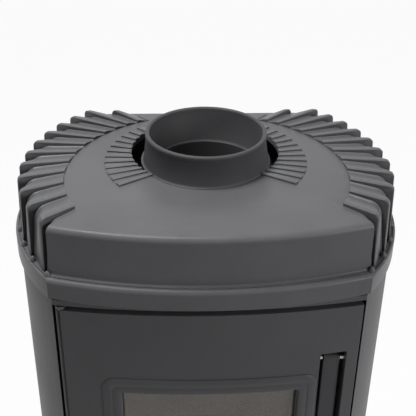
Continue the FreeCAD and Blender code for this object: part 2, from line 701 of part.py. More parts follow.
def make_base():
    base = plan("0", "0", "0", "plinth_top_z", "base_top_z")
    bores = [cylinder("rod_radius + seat_gap", (x, y, "plinth_top_z - overrun"),
                      "base_thick + 2 * overrun")
             for x, y in rod_places()]
    part("base_plate", cut(base, *bores))
    outer = plan("plinth_setback", "plinth_setback", "plinth_setback",
                 "foot_gap", "plinth_top_z")
    inner = plan("plinth_setback + plinth_wall", "plinth_setback + plinth_wall",
                 "plinth_setback + plinth_wall", "foot_gap - overrun", "plinth_top_z + overrun")
    bosses = [cylinder("foot_boss_radius", (x, y, "foot_gap"), "plinth_height")
              for x, y in foot_places()]
    webs = [foot_web(x, y) for x, y in foot_places()]
    threads = [cylinder("foot_stem_radius + tight_fit", (x, y, "foot_gap - overrun"),
                        "plinth_height + 2 * overrun") for x, y in foot_places()]
    ring = fuse(cut(outer, inner), common(outer, fuse(*bosses, *webs)))
    part("plinth", cut(ring, *threads))
    feet = [fuse(cylinder("foot_radius", (x, y, "0"), "foot_disc"),
                 cylinder("foot_stem_radius", (x, y, "foot_disc"), "plinth_height / 2"))
            for x, y in foot_places()]
    part("levelling_feet", fuse(*feet))


def foot_places():
    return [(side + "foot_half", y) for side in ("", "-") for y in ("-foot_front", "foot_rear")]


def foot_web(x, y):
    """The rib that ties a foot's boss to the nearest long wall of the plinth."""
    low, high = ("front_y", y) if y.startswith("-") else (y, "rear_y - plinth_setback")
    return box((f"({x}) - foot_web_half", low, "foot_gap"),
               (f"({x}) + foot_web_half", high, "plinth_top_z"))


def make_rods():
    rods = []
    for x, y in rod_places():
        nut_z = "flange_low_z + lug_height"
        rod = cylinder("rod_radius", (x, y, "plinth_top_z - nut_height"),
                       f"({nut_z}) - plinth_top_z + 2 * nut_height")
        rods.append(fuse(rod, hexagon("nut_radius", (x, y, nut_z), "nut_height"),
                         hexagon("nut_radius", (x, y, "plinth_top_z - nut_height"), "nut_height")))
    part("tie_rods", fuse(*rods))


def make_back():
    plate = across("opening_half - seat_gap", ("back_plate_rear - cast_wall", "base_top_z"),
                   ("back_plate_rear", "flange_low_z"))
    hole = cylinder("spigot_radius - spigot_neck + seat_gap", ("0", "box_rear", "spigot_height"),
                    "rear_y - box_rear", axis="y")
    threads = [cylinder("shield_screw_radius + tight_fit", (x, "box_rear", z),
                        "rear_y - box_rear", axis="y") for x, z in shield_places()]
    part("back_plate", cut(plate, hole, *threads))
    sheet = across("shield_half", ("shield_y", "shield_low"),
                   ("shield_y + shield_thick", "shield_high"))
    holes = [cylinder("shield_screw_radius + seat_gap", (x, "back_plate_rear", z),
                      "rear_y - box_rear", axis="y") for x, z in shield_places()]
    part("heat_shield", cut(sheet, *holes))
    spacers = [cut(cylinder("spacer_radius", (x, "back_plate_rear", z), "shield_gap", axis="y"),
                   cylinder("shield_screw_radius + seat_gap", (x, "back_plate_rear - overrun", z),
                            "shield_gap + 2 * overrun", axis="y")) for x, z in shield_places()]
    part("shield_spacers", fuse(*spacers))
    screws = [fuse(cylinder("shield_screw_radius", (x, "back_plate_rear - cast_wall", z),
                            "cast_wall + shield_gap + shield_thick", axis="y"),
                   cylinder("shield_head_radius", (x, "shield_y + shield_thick", z),
                            "shield_head_height", axis="y")) for x, z in shield_places()]
    part("shield_screws", fuse(*screws))
    neck = cylinder("spigot_radius - spigot_neck", ("0", "box_rear + seat_gap", "spigot_height"),
                    "rear_y - box_rear - seat_gap", axis="y")
    mouth = cylinder("spigot_radius", ("0", "back_plate_rear + seat_gap", "spigot_height"),
                     "rear_y - back_plate_rear - seat_gap", axis="y")
    spigot = cut(fuse(neck, mouth),
                 cylinder("spigot_radius - spigot_wall", ("0", "box_rear", "spigot_height"),
                          "rear_y - box_rear + overrun", axis="y"))
    part("air_spigot", spigot)


def shield_places():
    return [(side + "(shield_half - shield_screw_in)", z) for side in ("", "-")
            for z in ("shield_low + shield_screw_in", "shield_high - shield_screw_in")]


def make_frame():
    clear = "side_radius - cast_wall - seat_gap"
    plate = common(across("flange_side", ("frame_y", "base_top_z"),
                          ("frame_back_y", "flange_low_z")),
                   cylinder(clear, ("0", "side_y", "base_top_z"), "flange_low_z - base_top_z"))
    crown = across("box_half - cast_wall", ("frame_y", "flange_low_z - overrun"),
                   ("frame_back_y", "box_high_z"))
    fire = across("rope_half - opening_inset", ("frame_y - overrun", "rope_low_z + opening_inset"),
                  ("frame_back_y + overrun", "rope_high_z - opening_inset"))
    pan = across("pan_half + pan_play", ("frame_y - overrun", "pan_low_z - pan_play"),
                 ("frame_back_y + overrun", "pan_low_z + pan_height + pan_play"))
    part("front_frame", cut(fuse(plate, crown), fire, pan, *air_ports("frame_y", "frame_back_y")))


def air_ports(front, back):
    """The pair of air ports, one each side of the knob's stem."""
    return [box((near, f"({front}) - overrun", "air_z - air_slot_height / 2"),
                (f"({near}) + air_travel", f"({back}) + overrun", "air_z + air_slot_height / 2"))
            for near in ("air_port_near", "-air_port_near - air_travel")]


def make_rail():
    """The bowed rail that closes the front between the cover and the door."""
    high = "flange_low_z - seat_gap"
    bow = cylinder("face_radius", ("0", "bow_y", "rail_low_z"), f"({high}) - rail_low_z")
    part("top_rail", common(bow, across("opening_half - seat_gap", ("front_y", "rail_low_z"),
                                        ("frame_y - seat_gap", high))))


def make_apron():
    casting = hollow_front("opening_half - seat_gap", "base_top_z", "apron_high_z",
                           "frame_y - seat_gap")
    slot = across("air_slot_half", ("front_y", "air_z - air_slot_height / 2"),
                  ("frame_y", "air_z + air_slot_height / 2"))
    part("front_apron", cut(casting, slot))


def hollow_front(half, low, high, back):
    """A bowed casting with a rim all round, open at the back."""
    solid = common(cylinder("face_radius", ("0", "bow_y", low), f"({high}) - ({low})"),
                   across(half, ("front_y", low), (back, high)))
    inner = common(cylinder("face_radius - cast_wall", ("0", "bow_y", low), f"({high}) - ({low})"),
                   across(f"({half}) - door_rim", ("front_y", f"({low}) + door_rim"),
                          (f"({back}) + overrun", f"({high}) - door_rim")))
    return cut(solid, inner)


# ---------------------------------------------------------------- inner body
def make_inner_body():
    outer = box(("-box_half", "box_front_y", "base_top_z"), ("box_half", "box_rear", "box_high_z"))
    room = box(("-(box_half - box_wall)", "box_front_y - overrun", "base_top_z - overrun"),
               ("box_half - box_wall", "box_rear - box_wall", "box_high_z + overrun"))
    ledge_high = "hearth_low_z - seat_gap"
    ledge_low = f"{ledge_high} - ledge_thick"
    inside = "box_half - box_wall - ledge_width"
    ledge = box(("-(box_half - overrun)", "box_front_y", ledge_low),
                ("box_half - overrun", "box_rear - overrun", ledge_high))
    ledge_hole = box((f"-({inside})", "box_front_y - overrun", f"{ledge_low} - overrun"),
                     (inside, "box_rear - box_wall - ledge_width", f"{ledge_high} + overrun"))
    inlet = cylinder("spigot_radius - spigot_wall",
                     ("0", "box_rear - box_wall - overrun", "spigot_height"),
                     "box_wall + 2 * overrun", axis="y")
    part("firebox_shell", cut(fuse(cut(outer, room), cut(ledge, ledge_hole)), inlet))


def make_hearth():
    width = "2 * (box_half - box_wall - seat_gap)"
    depth = "box_rear - box_wall - seat_gap - box_front_y"
    hearth = slab("hearth_body", [("0", "0"), (width, "0"), (width, depth), ("0", depth)],
                  "hearth_thick", ("-(box_half - box_wall - seat_gap)", "box_front_y", "hearth_low_z"))
    DOC.recompute()
    whole = hearth.Shape.Volume
    seat = square(width, depth, "grate_size / 2 + seat_gap")
    well = square(width, depth, "grate_size / 2 - grate_margin")
    pocket(hearth, well, "hearth_thick")
    upper = pocket(hearth, seat, "grate_thick")
    upper.Profile[0].setExpression("AttachmentOffset.Base.z", formula("hearth_thick - grate_thick"))
    DOC.recompute()
    assert hearth.Shape.Volume < whole, "the hearth has no grate opening"
    part("hearth_plate", hearth)


def square(width, depth, half):
    """The corners of a square in the middle of a plate."""
    return [(f"({width}) / 2 - ({half})", f"({depth}) / 2 - ({half})"),
            (f"({width}) / 2 + ({half})", f"({depth}) / 2 - ({half})"),
            (f"({width}) / 2 + ({half})", f"({depth}) / 2 + ({half})"),
            (f"({width}) / 2 - ({half})", f"({depth}) / 2 + ({half})")]


def make_grate():
    side = "grate_size"
    middle = "(box_front_y + box_rear - box_wall - seat_gap) / 2"
    grate = slab("grate_body", [("0", "0"), (side, "0"), (side, side), ("0", side)],
                 "grate_thick - seat_gap", ("-grate_size / 2", f"({middle}) - grate_size / 2",
                                            "hearth_top_z - grate_thick + seat_gap"))
    first = "(grate_size - grate_slot_count * grate_slot - (grate_slot_count - 1) * grate_bar) / 2"
    edge = "grate_margin * 2.5"
    slot = pocket(grate, [(first, edge), (f"({first}) + grate_slot", edge),
                          (f"({first}) + grate_slot", f"grate_size - ({edge})"),
                          (first, f"grate_size - ({edge})")], "grate_thick")
    DOC.recompute()
    row = grate.newObject("PartDesign::LinearPattern", "slots")
    row.Originals = [slot]
    row.Direction = (slot.Profile[0], ["H_Axis"])
    bind(row, Length="(grate_slot_count - 1) * (grate_slot + grate_bar)",
         Occurrences="grate_slot_count")
    grate.Tip = row
    part("fire_grate", grate)


def make_lining():
    low = "hearth_top_z + seat_gap"
    inside = "box_half - box_wall - seat_gap"
    rear = "box_rear - box_wall - seat_gap"
    split = f"({rear}) - brick_thick - seat_gap"
    part("brick_right", box((f"({inside}) - brick_thick", "box_front_y", low),
                            (inside, split, "brick_high_z")))
    part("brick_left", box((f"-({inside})", "box_front_y", low),
                           (f"brick_thick - ({inside})", split, "brick_high_z")))
    part("brick_back", across(inside, (f"({rear}) - brick_thick", low), (rear, "brick_high_z")))
    part("baffle_board", across(inside, ("box_front_y + baffle_throat", "brick_high_z + seat_gap"),
                                (rear, "brick_high_z + seat_gap + baffle_thick")))
    guard = across("guard_half", ("box_front_y + guard_thick", low),
                   ("box_front_y + 2 * guard_thick", f"({low}) + guard_height"))
    part("log_guard", guard)


# ---------------------------------------------------------------- door
def make_door():
    blank = hollow_front("door_half", "door_low_z", "door_high_z", "door_back_y")
    post = common(cylinder("face_radius", ("0", "bow_y", "door_low_z"), "door_height"),
                  box(("-door_half", "front_y", "door_low_z"),
                      ("hinge_post - door_half", "door_back_y", "door_high_z")))
    rib = common(cylinder("face_radius", ("0", "bow_y", "door_low_z"), "door_height"),
                 across("rib_half", ("front_y", "rib_low_z"), ("door_back_y", "rib_high_z")))
    well = common(cylinder("face_radius - cast_wall", ("0", "bow_y", "door_low_z"), "door_height"),
                  across("rib_half - seal_rib", ("front_y", "rib_low_z + seal_rib"),
                         ("door_back_y + overrun", "rib_high_z - seal_rib")))
    cup = common(cylinder("face_radius", ("0", "bow_y", "door_low_z"), "door_height"),
                 box(("pocket_left - pocket_wall", "front_y", "pocket_low_z - pocket_wall"),
                     ("pocket_left + pocket_width + pocket_wall", "door_back_y",
                      "pocket_high_z + pocket_wall")))
    window = across("window_half", ("front_y", "window_low_z"), ("door_back_y", "window_high_z"))
    recess = box(("pocket_left", "front_y", "pocket_low_z"),
                 ("pocket_left + pocket_width", "door_back_y + overrun", "pocket_high_z"))
    groove = cut(across("rope_half + rope_radius + rope_play",
                        ("rope_y - rope_radius - rope_play",
                         "rope_low_z - rope_radius - rope_play"),
                        ("door_back_y + overrun", "rope_high_z + rope_radius + rope_play")),
                 across("rope_half - rope_radius - rope_play",
                        ("front_y", "rope_low_z + rope_radius + rope_play"),
                        ("frame_y", "rope_high_z - rope_radius - rope_play")))
    solid = cut(fuse(cut(fuse(blank, post, rib), well), cup), window, recess, groove)
    pins = [cylinder("hinge_pin_radius + hinge_clearance", ("hinge_x", "hinge_y", z),
                     "hinge_pin_reach + 2 * overrun")
            for z in ("door_low_z - overrun", "door_high_z - hinge_pin_reach - overrun")]
    pivot = cylinder("lever_pin_radius + tight_fit",
                     ("pocket_left - pocket_wall - overrun", "lever_y", "lever_z"),
                     "pocket_width + 2 * pocket_wall + 2 * overrun", axis="x")
    corner = cut(box(("-door_half - overrun", "edge_y - overrun", "door_low_z - overrun"),
                     ("door_corner - door_half", "edge_y + door_corner",
                      "door_high_z + overrun")),
                 cylinder("door_corner", ("door_corner - door_half", "edge_y + door_corner",
                                          "door_low_z - overrun"), "door_height + 2 * overrun"))
    part("door", cut(solid, corner, pivot, *pins))


def make_door_seal():
    """The rope in its groove: four straight runs and four round corners."""
    length = "rope_high_z - rope_low_z"
    runs = [cylinder("rope_radius", (x, "rope_y", "rope_low_z"), length)
            for x in ("rope_half", "-rope_half")]
    runs += [cylinder("rope_radius", ("-rope_half", "rope_y", z), "2 * rope_half", axis="x")
             for z in ("rope_low_z", "rope_high_z")]
    corners = [ball("rope_radius", (x, "rope_y", z)) for x in ("rope_half", "-rope_half")
               for z in ("rope_low_z", "rope_high_z")]
    part("door_seal", fuse(*runs, *corners))


def make_window():
    skin = "glazing_radius"
    reach = "glass_overlap"
    gasket = bowed(skin, f"{skin} - gasket_thick", f"window_half + {reach}",
                   f"window_low_z - {reach}", f"window_high_z + {reach}")
    part("glass_gasket", cut(gasket, window_hole()))
    front = f"{skin} - gasket_thick - seat_gap / 2"
    part("door_glass", bowed(front, f"{front} - glass_thick", f"window_half + {reach}",
                             f"window_low_z - {reach}", f"window_high_z + {reach}"))
    behind = f"{front} - glass_thick - seat_gap"
    ring = bowed(behind, f"{behind} - retainer_thick", "rib_half - seal_rib - retainer_lap",
                 "rib_low_z + seal_rib + retainer_lap", "rib_high_z - seal_rib - retainer_lap")
    holes = [cylinder("glass_screw_radius + seat_gap", (x, "face_y", z),
                      "frame_y - face_y", axis="y") for x, z in glass_screw_places()]
    part("glass_retainer", cut(ring, window_hole(), *holes))
    screws = []
    for x, z in glass_screw_places():
        face = f"bow_y - sqrt({skin} * {skin} - ({x}) * ({x})) + seat_gap"
        length = "gasket_thick + glass_thick + seat_gap + retainer_thick + glass_screw_tip"
        shank = cylinder("glass_screw_radius", (x, face, z), length, axis="y")
        head = cylinder("glass_head_radius", (x, f"({face}) + {length}", z),
                        "glass_head_height", axis="y")
        screws.append(fuse(shank, head))
    part("glass_screws", fuse(*screws))


def window_hole():
    return across("window_half", ("front_y", "window_low_z"), ("frame_y", "window_high_z"))


def glass_screw_places():
    middle = "(glass_overlap + seal_land_high) / 2"
    return [(f"{n} * window_half * glass_screw_share", z) for n in (-1, 0, 1)
            for z in (f"window_low_z - {middle}", f"window_high_z + {middle}")]


def make_hinges():
    upper_z = "door_high_z + (door_gap - hinge_plate_thick) / 2"
    lower_z = "door_low_z - (door_gap + hinge_plate_thick) / 2"
    for label, plate_z in (("hinge_upper", upper_z), ("hinge_lower", lower_z)):
        eye = cylinder("hinge_eye_radius", ("hinge_x", "hinge_y", plate_z), "hinge_plate_thick")
        arm = box(("hinge_x - hinge_eye_radius", "hinge_y", plate_z),
                  ("hinge_x + hinge_plate_reach", "frame_y - seat_gap",
                   f"({plate_z}) + hinge_plate_thick"))
        bore = cylinder("hinge_pin_radius + tight_fit",
                        ("hinge_x", "hinge_y", f"({plate_z}) - overrun"),
                        "hinge_plate_thick + 2 * overrun")
        part(label, cut(fuse(eye, arm), bore))
    length = "hinge_pin_reach + (door_gap + hinge_plate_thick) / 2"
    pins = [cylinder("hinge_pin_radius", ("hinge_x", "hinge_y", z), length)
            for z in ("door_high_z - hinge_pin_reach", lower_z)]
    part("hinge_pins", fuse(*pins))


def make_lever():
    low = "lever_z - lever_length"
    front = "lever_y - lever_thick / 2"
    bar = box(("pocket_mid - lever_width / 2", front, low),
              ("pocket_mid + lever_width / 2", f"({front}) + lever_thick", "lever_z"))
    hub = cylinder("lever_thick / 2 + hub_wall", ("pocket_mid - lever_width / 2", "lever_y", "lever_z"),
                   "lever_width", axis="x")
    arm = box(("pocket_mid - hook_width / 2", "lever_y", "lever_z - hook_thick / 2"),
              ("pocket_mid + hook_width / 2", "lever_y + hook_reach", "lever_z + hook_thick / 2"))
    tip = box(("pocket_mid - hook_width / 2", "lever_y + hook_reach - hook_thick",
               "lever_z - hook_thick / 2"),
              ("pocket_mid + hook_width / 2", "lever_y + hook_reach",
               "lever_z - hook_thick / 2 + hook_rise"))
    bore = cylinder("lever_pin_radius + tight_fit",
                    ("pocket_mid - lever_width", "lever_y", "lever_z"), "2 * lever_width", axis="x")
    part("door_lever", cut(fuse(bar, hub, arm, tip), bore))
    part("lever_pin", cylinder("lever_pin_radius", ("pocket_left - pocket_wall", "lever_y", "lever_z"),
                               "pocket_width + 2 * pocket_wall", axis="x"))
    # The keeper hangs from the frame, its lip in front of the hook's upturned end.
    lip_low = "lever_z - hook_thick / 2 + hook_rise + hook_clear"
    lip_rear = "lever_y + hook_reach - hook_thick - keeper_space"
    lip_front = f"{lip_rear} - keeper_thick"
    keeper_high = "pocket_high_z - keeper_thick"
    lip = box(("pocket_mid - hook_width", lip_front, lip_low),
              ("pocket_mid + hook_width", lip_rear, keeper_high))
    bridge = box(("pocket_mid - hook_width", lip_front, f"{keeper_high} - keeper_thick"),
                 ("pocket_mid + hook_width", "frame_y - seat_gap", keeper_high))
    part("latch_keeper", fuse(lip, bridge))


# ---------------------------------------------------------------- ash drawer and air control
def make_drawer():
    front = hollow_front("door_half", "drawer_low_z", "drawer_high_z", "door_back_y")
    recess = cylinder("grip_radius", ("0", "face_y", "drawer_high_z - door_rim"),
                      "door_rim + overrun")
    ribs = [common(cylinder("face_radius", ("0", "bow_y", "pan_low_z"), "pan_height"),
                   box((near, "front_y", "pan_low_z"),
                       (f"({near}) + cast_wall", "door_back_y", "pan_low_z + pan_height")))
            for near in ("drawer_rib", "-drawer_rib - cast_wall")]
    part("drawer_front", cut(fuse(front, *ribs), recess))
    tray = across("pan_half", ("door_back_y + seat_gap", "pan_low_z"),
                  ("door_back_y + seat_gap + pan_depth", "pan_low_z + pan_height"))
    room = across("pan_half - pan_wall",
                  ("door_back_y + seat_gap + pan_wall", "pan_low_z + pan_wall"),
                  ("door_back_y + seat_gap + pan_depth - pan_wall", "pan_low_z + pan_height + overrun"))
    part("ash_pan", cut(tray, room))
    shelf_high = "pan_low_z - seat_gap"
    shelf_low = f"{shelf_high} - runner_thick"
    near = "pan_half + overrun"
    for label, side in (("runner_right", ""), ("runner_left", "-")):
        shelf = beside_pan(side, "pan_half - ledge_width", "box_half - box_wall - seat_gap",
                           shelf_low, shelf_high)
        guide = beside_pan(side, near, f"{near} + runner_thick", shelf_low,
                           "pan_low_z + ledge_width")
        part(label, fuse(shelf, guide))


def beside_pan(side, near, far, low, high):
    """A long block beside the ash pan, from the inner body's front to the pan's far end."""
    left, right = (f"-({far})", f"-({near})") if side else (near, far)
    return box((left, "box_front_y", low), (right, "door_back_y + pan_depth", high))


def make_air_control():
    face = "frame_y - seat_gap - air_plate_thick"
    plate = across("air_plate_half", (face, "air_z - air_plate_height / 2"),
                   ("frame_y - seat_gap", "air_z + air_plate_height / 2"))
    part("air_slide", cut(plate, *air_ports(face, "frame_y")))
    grip_y = "front_y + seat_gap"
    grip = cylinder("air_knob_radius", ("0", grip_y, "air_z"), "air_knob_length", axis="y")
    stem = cylinder("air_stem_radius", ("0", f"{grip_y} + air_knob_length - overrun", "air_z"),
                    f"{face} - ({grip_y} + air_knob_length - overrun)", axis="y")
    part("air_knob", fuse(stem, grip))
    rails = [across("air_plate_half + air_travel", (face, z),
                    ("frame_y - seat_gap", f"({z}) + air_rail_height"))
             for z in ("air_z - air_plate_height / 2 - air_rail_height - seat_gap",
                       "air_z + air_plate_height / 2 + seat_gap")]
    part("air_slide_rails", fuse(*rails))


# ---------------------------------------------------------------- build, check, export
def check_document():
    """Stop if any object failed or if a finished piece isn't a sound solid."""
    DOC.recompute()
    failed = [obj.Name for obj in DOC.Objects
              if "Invalid" in obj.State or "Error" in obj.State]
    assert not failed, f"failed objects: {failed}"
    for obj in PARTS:
        shape = obj.Shape
        assert not shape.isNull() and shape.isValid() and shape.Solids, f"bad shape: {obj.Label}"


def export_parts():
    os.makedirs("parts", exist_ok=True)
    for obj in PARTS:
        obj.Shape.exportStep(f"parts/{obj.Label}.step")


make_cover()
make_collar()
make_sides()
make_base()
make_rods()
make_back()
make_frame()
make_rail()
make_apron()
make_inner_body()
make_hearth()
make_grate()
make_lining()
make_door()
make_door_seal()
make_window()
make_hinges()
make_lever()
make_drawer()
make_air_control()
check_document()
export_parts()
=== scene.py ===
import json
import math

import bmesh
import bpy
from mathutils import Matrix, Vector

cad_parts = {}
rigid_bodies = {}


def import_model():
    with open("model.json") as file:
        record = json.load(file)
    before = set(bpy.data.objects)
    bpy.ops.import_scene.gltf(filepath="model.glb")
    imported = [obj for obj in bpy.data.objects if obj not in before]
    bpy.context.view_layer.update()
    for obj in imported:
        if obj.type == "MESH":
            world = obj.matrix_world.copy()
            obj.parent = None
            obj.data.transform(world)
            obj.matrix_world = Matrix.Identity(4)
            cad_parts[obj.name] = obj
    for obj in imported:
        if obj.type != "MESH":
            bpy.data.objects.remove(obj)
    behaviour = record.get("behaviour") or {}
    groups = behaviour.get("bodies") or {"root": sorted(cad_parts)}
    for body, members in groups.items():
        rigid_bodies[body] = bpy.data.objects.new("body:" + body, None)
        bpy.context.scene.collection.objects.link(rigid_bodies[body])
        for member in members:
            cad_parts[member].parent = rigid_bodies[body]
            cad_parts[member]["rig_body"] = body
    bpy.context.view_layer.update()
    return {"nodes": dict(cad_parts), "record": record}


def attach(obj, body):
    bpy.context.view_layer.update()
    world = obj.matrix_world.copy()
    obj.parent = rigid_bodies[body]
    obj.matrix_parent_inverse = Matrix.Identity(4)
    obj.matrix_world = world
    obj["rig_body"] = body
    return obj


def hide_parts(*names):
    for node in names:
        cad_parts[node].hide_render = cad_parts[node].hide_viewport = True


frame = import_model()
NODES = frame["nodes"]

# Sizes in millimetres and degrees, as the castings are drawn.
PLATE_TOP = 880.0
FLUE_Y = 31.5
SIDE_Y, SIDE_RADIUS = 9.5, 255.0
FRONT_CENTRE_Y, FRONT_RADIUS = 466.5, 650.0
DOOR_CENTRE_Y, DOOR_RADIUS = 885.5, 1058.0
REAR_Y = 183.5
COVER_WALL = 8.0

# The flange: its rounded upper edge in front and at the sides, then a groove as (inset, lift),
# then the fillet that leads up to the frieze.
FLANGE_LOW, FLANGE_TOP = 786.0, 814.0
FLANGE_CHAMFER = 1.2
BULLNOSE, SIDE_EDGE = 6.0, 3.0
GROOVE = ((6.6, -0.1), (7.0, -0.9), (7.5, -0.9), (7.9, 0.1))
FILLET_FRONT, FILLET_SIDE, FILLET_POST = 9.2, 10.0, 6.0
FILLET_WIDTH, FILLET_HEIGHT = 2.8, 2.7

# The frieze: how far in it stands and how round its upper edge is, at each side of the plan.
SIDE_INSET, SIDE_BEND = 17.8, 16.0
FRONT_INSET, FRONT_BEND = 12.0, 8.0
POST_INSET = 9.5
REAR_BEND = 1.5

# The openings in the plate.
PIT_Y, PIT_RADIUS = 56.5, 102.0
NECK_RADIUS = 84.3
OPENING_MIDDLE_Y = 45.0
# The opening's rounded edge: how far out and how far down.
OPENING_EDGE = ((1.4, 0.0), (0.4, 0.4), (0.0, 1.4))

# The outer fans: a value for the valleys and one for the ridges.
FAN_Y = FLUE_Y + 36.0
FAN_INNER_Y, FAN_INNER_RADIUS = FLUE_Y - 42.0, 185.5
FIN_COUNT, FIN_FIRST, FIN_PITCH = 12, 40.5, 7.82
FIN_INSETS = (17.0, 9.0)
FIN_BENDS = (16.0, 6.0)
FIN_INNER_RISES = (0.25, 4.0)
FIN_OUTER_RISES = (0.25, 7.0)
FIN_TOES = (6.0, 2.5)
FIN_ROOT = 6.0
FIN_SKIN, FIN_KNEE = 7.0, 4.0
FIN_FOOT = FLANGE_TOP - PLATE_TOP - 4.0
REAR_GAP = 0.4
NUB_HALVES = (4.6, 4.6, 11.0)
NUB_INSET, NUB_DROP, NUB_REAR_CLEAR, NUB_TURN = 6.0, 4.5, 8.0, 0.2

# The inner fans of small teeth.
TOOTH_COUNT, TOOTH_FIRST, TOOTH_PITCH = 12, 45.0, 7.2
TOOTH_RISES = (0.2, 2.9)
TOOTH_OUTER_RADIUS = 136.0
TOOTH_LAP = 1.0

# The collar, as radii and heights.
COLLAR_LOW, COLLAR_FLANGE, FLANGE_RADIUS = 820.3, 8.0, 100.0
NECK_OUTER, BORE_RADIUS, THROAT_RADIUS = 84.0, 75.0, 70.0
BEAD_RADIUS, RIM_RADIUS = 3.2, 2.4
RIM_HEIGHT, LEDGE_HEIGHT = 919.6, 873.0
TURNED_STEPS = 160

# The window's surround: each row is how far out, the corner's radius and how far proud.
WINDOW_HALF, WINDOW_LOW, WINDOW_HIGH = 114.0, 350.0, 645.0
MOULDING = [(24.0, 16.0, -1.0), (24.0, 16.0, 0.6), (23.2, 15.5, 1.6), (21.5, 14.5, 2.3),
            (14.0, 10.0, 2.5), (12.5, 9.0, 1.7), (11.0, 8.5, 1.7), (9.5, 8.0, 2.4),
            (3.0, 5.0, 2.2), (1.2, 4.0, 1.4), (0.5, 3.5, 0.0), (0.5, 3.5, -1.0)]
MOULDING_STEPS = 10

# An edge is sharp from this angle, and flat faces are joined below the other.
SHARP_ANGLE, FLAT_ANGLE = 35.0, 1.0

# Light: grey of the floor, its glow and how much of the glow is seen, and the world.
FLOOR_GREY, FLOOR_GLOW, GLOW_SHARE = 0.6, 1.1, 0.86
WORLD_COLOUR, WORLD_STRENGTH = (0.93, 0.96, 1.0, 1.0), 0.06

# The camera: lens in millimetres, places in metres, roll in degrees.
LENS, SENSOR_WIDTH, CAMERA_REACH = 71.4, 36.0, 60.0
CAMERA_STAND, CAMERA_TARGET = (-0.0432, -0.9638, 1.3864), (0.00391, 0.0315, 0.80257)
CAMERA_ROLL = 0.73


# ---------------------------------------------------------------- finishes
class Term:
    """A node's output that can stand in sums and products."""

    def __init__(self, finish, socket):
        self.finish = finish
        self.socket = socket

    def maths(self, operation, first, second):
        """The output of a Math node."""
        return self.finish.node("ShaderNodeMath", {"operation": operation}, {0: first, 1: second})

    def __add__(self, other):
        return self.maths("ADD", self, other)

    def __radd__(self, other):
        return self.maths("ADD", other, self)

    def __sub__(self, other):
        return self.maths("SUBTRACT", self, other)

    def __rsub__(self, other):
        return self.maths("SUBTRACT", other, self)

    def __mul__(self, other):
        return self.maths("MULTIPLY", self, other)

    def __rmul__(self, other):
        return self.maths("MULTIPLY", other, self)


class Finish:
    """A material with one Principled shader, and the nodes that vary it."""

    def __init__(self, name):
        self.material = bpy.data.materials.new(name)
        self.material.use_nodes = True
        self.tree = self.material.node_tree
        self.shader = self.tree.nodes["Principled BSDF"]
        self.here = self.node("ShaderNodeTexCoord", out="Object")

    def node(self, kind, settings=None, values=None, out=0):
        """Add a node: its settings first, then the values or links of its sockets."""
        made = self.tree.nodes.new(kind)
        for key, value in (settings or {}).items():
            setattr(made, key, value)
        for key, value in (values or {}).items():
            self.feed(made.inputs[key], value)
        return Term(self, made.outputs[out])

    def feed(self, socket, value):
        """Link a term to a socket, or write a plain value into it."""
        if isinstance(value, Term):
            self.tree.links.new(value.socket, socket)
        else:
            socket.default_value = value

    def set(self, **values):
        """Feed the shader; a name such as base_color stands for its socket Base Color."""
        for key, value in values.items():
            socket = key.replace("_", " ").title().replace("Ior", "IOR")
            self.feed(self.shader.inputs[socket], value)
        return self

    def noise(self, scale, detail=3.0, roughness=0.55, where=None):
        """Cloudy values round a half."""
        return self.node("ShaderNodeTexNoise", {"noise_dimensions": "3D"},
                         {"Vector": where or self.here, "Scale": scale, "Detail": detail,
                          "Roughness": roughness})

    def stretched(self, x, y, z):
        """Object coordinates drawn out along the axes."""
        return self.node("ShaderNodeMapping", {"vector_type": "POINT"},
                         {"Vector": self.here, "Scale": (x, y, z)})

    def between(self, value, low, high, low_to=0.0, high_to=1.0):
        """Map one range onto another, held at its ends."""
        return self.node("ShaderNodeMapRange", {"clamp": True},
                         {"Value": value, "From Min": low, "From Max": high,
                          "To Min": low_to, "To Max": high_to})

    def tint(self, factor, dark, light):
        """A colour between two, by a factor."""
        return self.node("ShaderNodeMix", {"data_type": "RGBA"},
                         {"Factor": factor, "A": (*dark, 1.0), "B": (*light, 1.0)}, out="Result")

    def shaded(self, factor, colour, other):
        """A colour that turns to a fixed one by a factor."""
        return self.node("ShaderNodeMix", {"data_type": "RGBA"},
                         {"Factor": factor, "A": colour, "B": (*other, 1.0)}, out="Result")

    def bump(self, height, depth):
        """A relief of some depth in metres, as a changed normal."""
        return self.node("ShaderNodeBump", None,
                         {"Height": height, "Distance": depth, "Strength": 1.0})


def scaled(colour, share):
    """A colour made darker or lighter."""
    return tuple(channel * share for channel in colour)


def cast_paint(name, colour, roughness=0.36, grain=0.00022):
    """Matt stove paint on sand-cast iron: fine grain, cloudy tone, and painted shade that darkens the
    hollows by ambient occlusion.
    """
    paint = Finish(name)
    cloud = paint.noise(9.0, 4.0, 0.6)
    grit = paint.noise(950.0, 2.0, 0.6)
    pores = paint.between(paint.noise(420.0, 2.0, 0.5), 0.62, 0.76)
    # Painted shade: ambient occlusion marks the hollows, creases and gaps between parts where shade
    # falls.
    occlusion_shade = paint.node("ShaderNodeAmbientOcclusion", {"samples": 8}, {"Distance": 0.009}, out="AO")
    tone = paint.between(cloud * 0.6 + grit * 0.4, 0.3, 0.7)
    worn = paint.tint(tone, scaled(colour, 0.86), scaled(colour, 1.13))
    pitted = paint.shaded(pores * 0.28, worn, scaled(colour, 0.55))
    # Painted shade: the base colour turns nearly black where the occlusion finds a hollow.
    painted_shade = paint.shaded(paint.between(occlusion_shade, 0.15, 0.75, 0.75, 0.0), pitted, scaled(colour, 0.16))
    skin = grit * 0.65 + cloud * 0.1 - pores * 0.35
    return paint.set(base_color=painted_shade, metallic=0.0, specular_ior_level=0.2,
                     roughness=paint.between(grit * 0.5 + cloud * 0.5, 0.3, 0.7,
                                             roughness - 0.06, roughness + 0.08),
                     normal=paint.bump(skin, grain))


